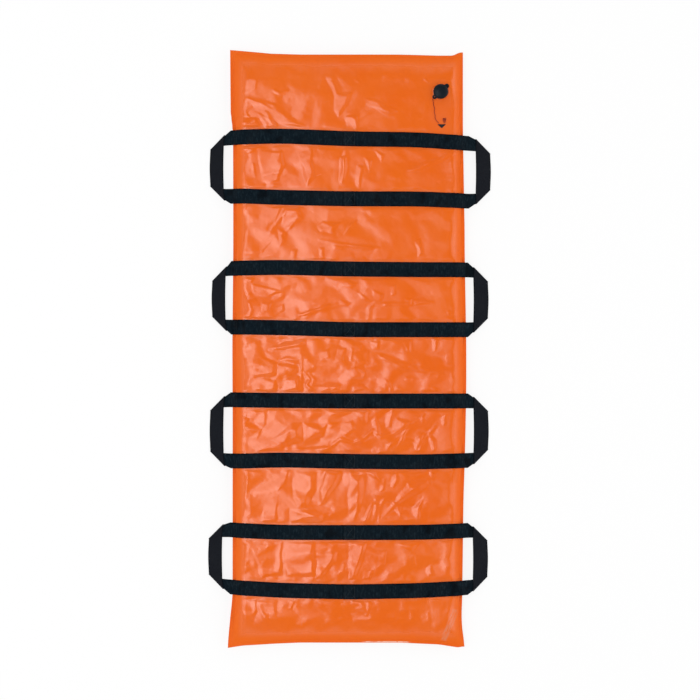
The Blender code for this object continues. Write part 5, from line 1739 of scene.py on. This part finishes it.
def thread_material(name, first, second, scale):
    """Twisted thread or cord: strands that run slantwise round it."""
    mat, tree, shader, place = new_material(name, specular=0.2)
    strands = ramp(tree, noise(tree, place, scale, 3.0), 0.35, 0.65)
    tree.links.new(mix_colour(tree, strands, first, second), shader.inputs["Base Color"])
    tree.links.new(ramp(tree, strands, 0.0, 1.0, 0.55, 0.75), shader.inputs["Roughness"])
    bump(tree, shader, strands, 0.0002)
    return mat


def cord_material():
    """A braided cord: slanting strands cross on it, and a dark fleck comes back at an even pitch."""
    mat, tree, shader, place = new_material("braided_red", specular=0.25)
    along = add_node(tree, "ShaderNodeUVMap", uv_map="along").outputs["UV"]
    axes = axes_of(tree, along)
    lengthwise = times(tree, axes["X"], 420.0)
    round_it = times(tree, axes["Y"], 4.0)
    waves = [math_node(tree, "SINE", times(tree, math_node(tree, kind, lengthwise, round_it), 2 * math.pi))
             for kind in ("ADD", "SUBTRACT")]
    braid = ramp(tree, math_node(tree, "MAXIMUM", *waves), -0.2, 1.0)
    fleck = math_node(tree, "SINE", times(tree, axes["X"], 2 * math.pi / FLECK_PITCH))
    light = times(tree, ramp(tree, fleck, -0.5, 0.5, 0.25, 1.0), ramp(tree, braid, 0.0, 1.0, 0.6, 1.0))
    colour = mix_colour(tree, light, CORD_DARK, CORD_RED)
    tree.links.new(dusted(tree, place, colour, CORD_DUST, 90.0, 0.25), shader.inputs["Base Color"])
    tree.links.new(ramp(tree, braid, 0.0, 1.0, 0.75, 0.55), shader.inputs["Roughness"])
    bump(tree, shader, braid, 0.0003)
    return mat


webbing_finish = webbing_material()
black_thread = thread_material("black_thread", (0.012, 0.016, 0.020), (0.042, 0.048, 0.054), 1500.0)
cord_finish = cord_material()
for piece in webbing + handles:
    dress(piece, webbing_finish)
for piece in stitching:
    dress(piece, black_thread)
dress(tether, cord_finish)
dress(tether_knot, cord_finish)
print("straps dressed:", len(webbing + handles))

# %% [markdown]
# ## Rubber, plastic, silicone and steel
#
# The cap is soft moulded rubber: dull, with a bloom that greys it. The neck and its nut are harder and a
# little glossier. Inside, the valve is milky plastic with a red silicone disc and a bright steel spring.
# One function makes them all from their two tones, their roughness and the size of their grain.

# %% Moulded finishes
def moulded(name, base, dust, rough, grain_size, depth, amount=0.2, metallic=0.0, specular=0.5):
    mat, tree, shader, place = new_material(name, metallic=metallic, specular=specular)
    tree.links.new(dusted(tree, place, base, dust, 60.0, amount), shader.inputs["Base Color"])
    tree.links.new(ramp(tree, noise(tree, place, 150.0, 3.0), 0.3, 0.7, *rough), shader.inputs["Roughness"])
    bump(tree, shader, grain(tree, place, grain_size), depth)
    return mat


FINISHES = {
    "black_rubber": moulded("bloomed_rubber", (0.0026, 0.0058, 0.0105), (0.014, 0.023, 0.036), (0.34, 0.48),
                            1400.0, 0.00008, 0.25, specular=0.17),
    "black_moulding": moulded("hard_black_moulding", (0.010, 0.011, 0.013), (0.05, 0.05, 0.055), (0.28, 0.42),
                              1100.0, 0.00004),
    "natural_plastic": moulded("milky_plastic", (0.66, 0.65, 0.60), (0.55, 0.50, 0.42), (0.32, 0.50), 900.0,
                               0.00003, 0.3),
    "red_silicone": moulded("red_silicone", (0.38, 0.045, 0.025), (0.45, 0.12, 0.09), (0.42, 0.60), 1500.0,
                            0.00003),
    "spring_steel": moulded("spring_steel", (0.62, 0.62, 0.64), (0.42, 0.41, 0.40), (0.18, 0.34), 2500.0,
                            0.00001, 0.4, metallic=1.0),
}
NODE_FINISHES = {
    "valve_body": "black_moulding", "valve_seat": "black_moulding", "ring_nut": "black_moulding",
    "neck_gasket": "black_rubber", "cap_seal": "black_rubber", "stem_bridge": "natural_plastic",
    "filter_basket": "natural_plastic", "poppet": "natural_plastic", "check_disc": "red_silicone",
}
for node, slot in NODE_FINISHES.items():
    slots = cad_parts[node].data.materials
    slots.clear()
    slots.append(FINISHES[slot])
dress(rubber_cap, FINISHES["black_rubber"])
dress(coil, FINISHES["spring_steel"])
tab_finish = thread_material("tab_weave", (0.008, 0.009, 0.011), (0.020, 0.020, 0.022), 1100.0)
dress(tab, tab_finish)
print("finishes:", sorted(FINISHES))

# %% [markdown]
# ## Floor and light
#
# The photograph is a studio cut-out: a plain white ground and soft light. A glossy sheet shows what hangs
# above it. The main light is a large soft panel beyond the left side, strongest in its middle third: the
# flat sheet mirrors the dim room, and only folds that lean a little to the panel turn pale.

# %% Floor and light
FLOOR_DROP, FLOOR_HALF = 0.0004, 30.0
FLOOR_WHITE, SEEN_SHARE = 0.95, 0.85
KEY_PARTS = {  # the main light's three parts: centre and length along the bag, and share of the middle's glow
    "head": (1.825, 2.75, 0.55), "middle": (-0.60, 2.1, 1.0), "foot": (-2.625, 1.95, 0.55),
}
KEY_GLOW = 13.6  # watts from a square metre of the middle part
FILL_SIZE, FILL_PLACE, FILL_POWER = (8.0, 7.0), (6.0, 0.3, 4.0), 150.0
TOP_SIZE, TOP_PLACE, TOP_POWER = (2.6, 1.9), (0.10, -0.38, 9.3), 15.0
ROOM_LOW, ROOM_HIGH = 1.05, 0.16  # the walls' light and the ceiling's
WALL_TOP, CEILING_FROM = 0.45, 0.90  # heights of view between which one turns into the other


def floor_material():
    """White to the camera and to mirrors, with a share of diffuse so that the shadow shows."""
    mat = bpy.data.materials.new("studio_floor")
    mat.use_nodes = True
    tree = mat.node_tree
    tree.nodes.remove(tree.nodes["Principled BSDF"])
    diffuse = add_node(tree, "ShaderNodeBsdfDiffuse", {"Color": (FLOOR_WHITE,) * 3 + (1,)}).outputs[0]
    white = add_node(tree, "ShaderNodeEmission", {"Color": (1, 1, 1, 1), "Strength": 1.0}).outputs[0]
    path = add_node(tree, "ShaderNodeLightPath").outputs
    seen = math_node(tree, "MAXIMUM", path["Is Camera Ray"],
                     math_node(tree, "MAXIMUM", path["Is Glossy Ray"], path["Is Transmission Ray"]))
    share = times(tree, seen, SEEN_SHARE)
    mixed = add_node(tree, "ShaderNodeMixShader", {0: share, 1: diffuse, 2: white}).outputs[0]
    tree.links.new(mixed, tree.nodes["Material Output"].inputs["Surface"])
    return mat


def panel(name, size, place, aim, power):
    """A rectangular soft light that faces a point."""
    data = bpy.data.lights.new(name, "AREA")
    data.shape, data.size, data.size_y, data.energy = "RECTANGLE", *size, power
    light = bpy.data.objects.new(name, data)
    light.location = place
    way = np.array(aim, float) - place
    light.rotation_euler = (math.atan2(math.hypot(way[0], way[1]), -way[2]), 0, math.atan2(-way[0], way[1]))
    bpy.context.scene.collection.objects.link(light)


floor_corners = [(x * FLOOR_HALF, y * FLOOR_HALF, -FLOOR_DROP)
                 for x, y in ((-1, -1), (1, -1), (1, 1), (-1, 1))]
floor = new_piece("studio_floor", floor_corners, [(0, 1, 2, 3)], smooth=False)
floor.data.materials.append(floor_material())
for part, (along, length, share) in KEY_PARTS.items():
    under = (KEY_OVER[0], along, 0)
    panel(f"key_panel_{part}", (KEY_WIDTH, length), (*under[:2], KEY_HEIGHT), under,
          KEY_GLOW * KEY_WIDTH * length * share)
panel("fill_panel", FILL_SIZE, FILL_PLACE, (0, 0, 0), FILL_POWER)
panel("top_panel", TOP_SIZE, TOP_PLACE, (*TOP_PLACE[:2], 0), TOP_POWER)
world = bpy.data.worlds.new("room")
world.use_nodes = True
room = world.node_tree
height_of_view = add_node(room, "ShaderNodeSeparateXYZ",
                          {0: add_node(room, "ShaderNodeTexCoord").outputs["Generated"]}).outputs["Z"]
room.nodes["Background"].inputs["Color"].default_value = (1, 1, 1, 1)
room_light = ramp(room, height_of_view, WALL_TOP, CEILING_FROM, ROOM_LOW, ROOM_HIGH)
room.links.new(room_light, room.nodes["Background"].inputs["Strength"])
bpy.context.scene.world = world
bpy.context.scene.view_settings.view_transform = "Standard"

# %% [markdown]
# ## Measure
#
# The dressed model has to keep the size of the solids, so their size is printed.

# %% Measure and finish
print("size of the solids, m:", [round(v, 4) for v in cad_high - cad_low])
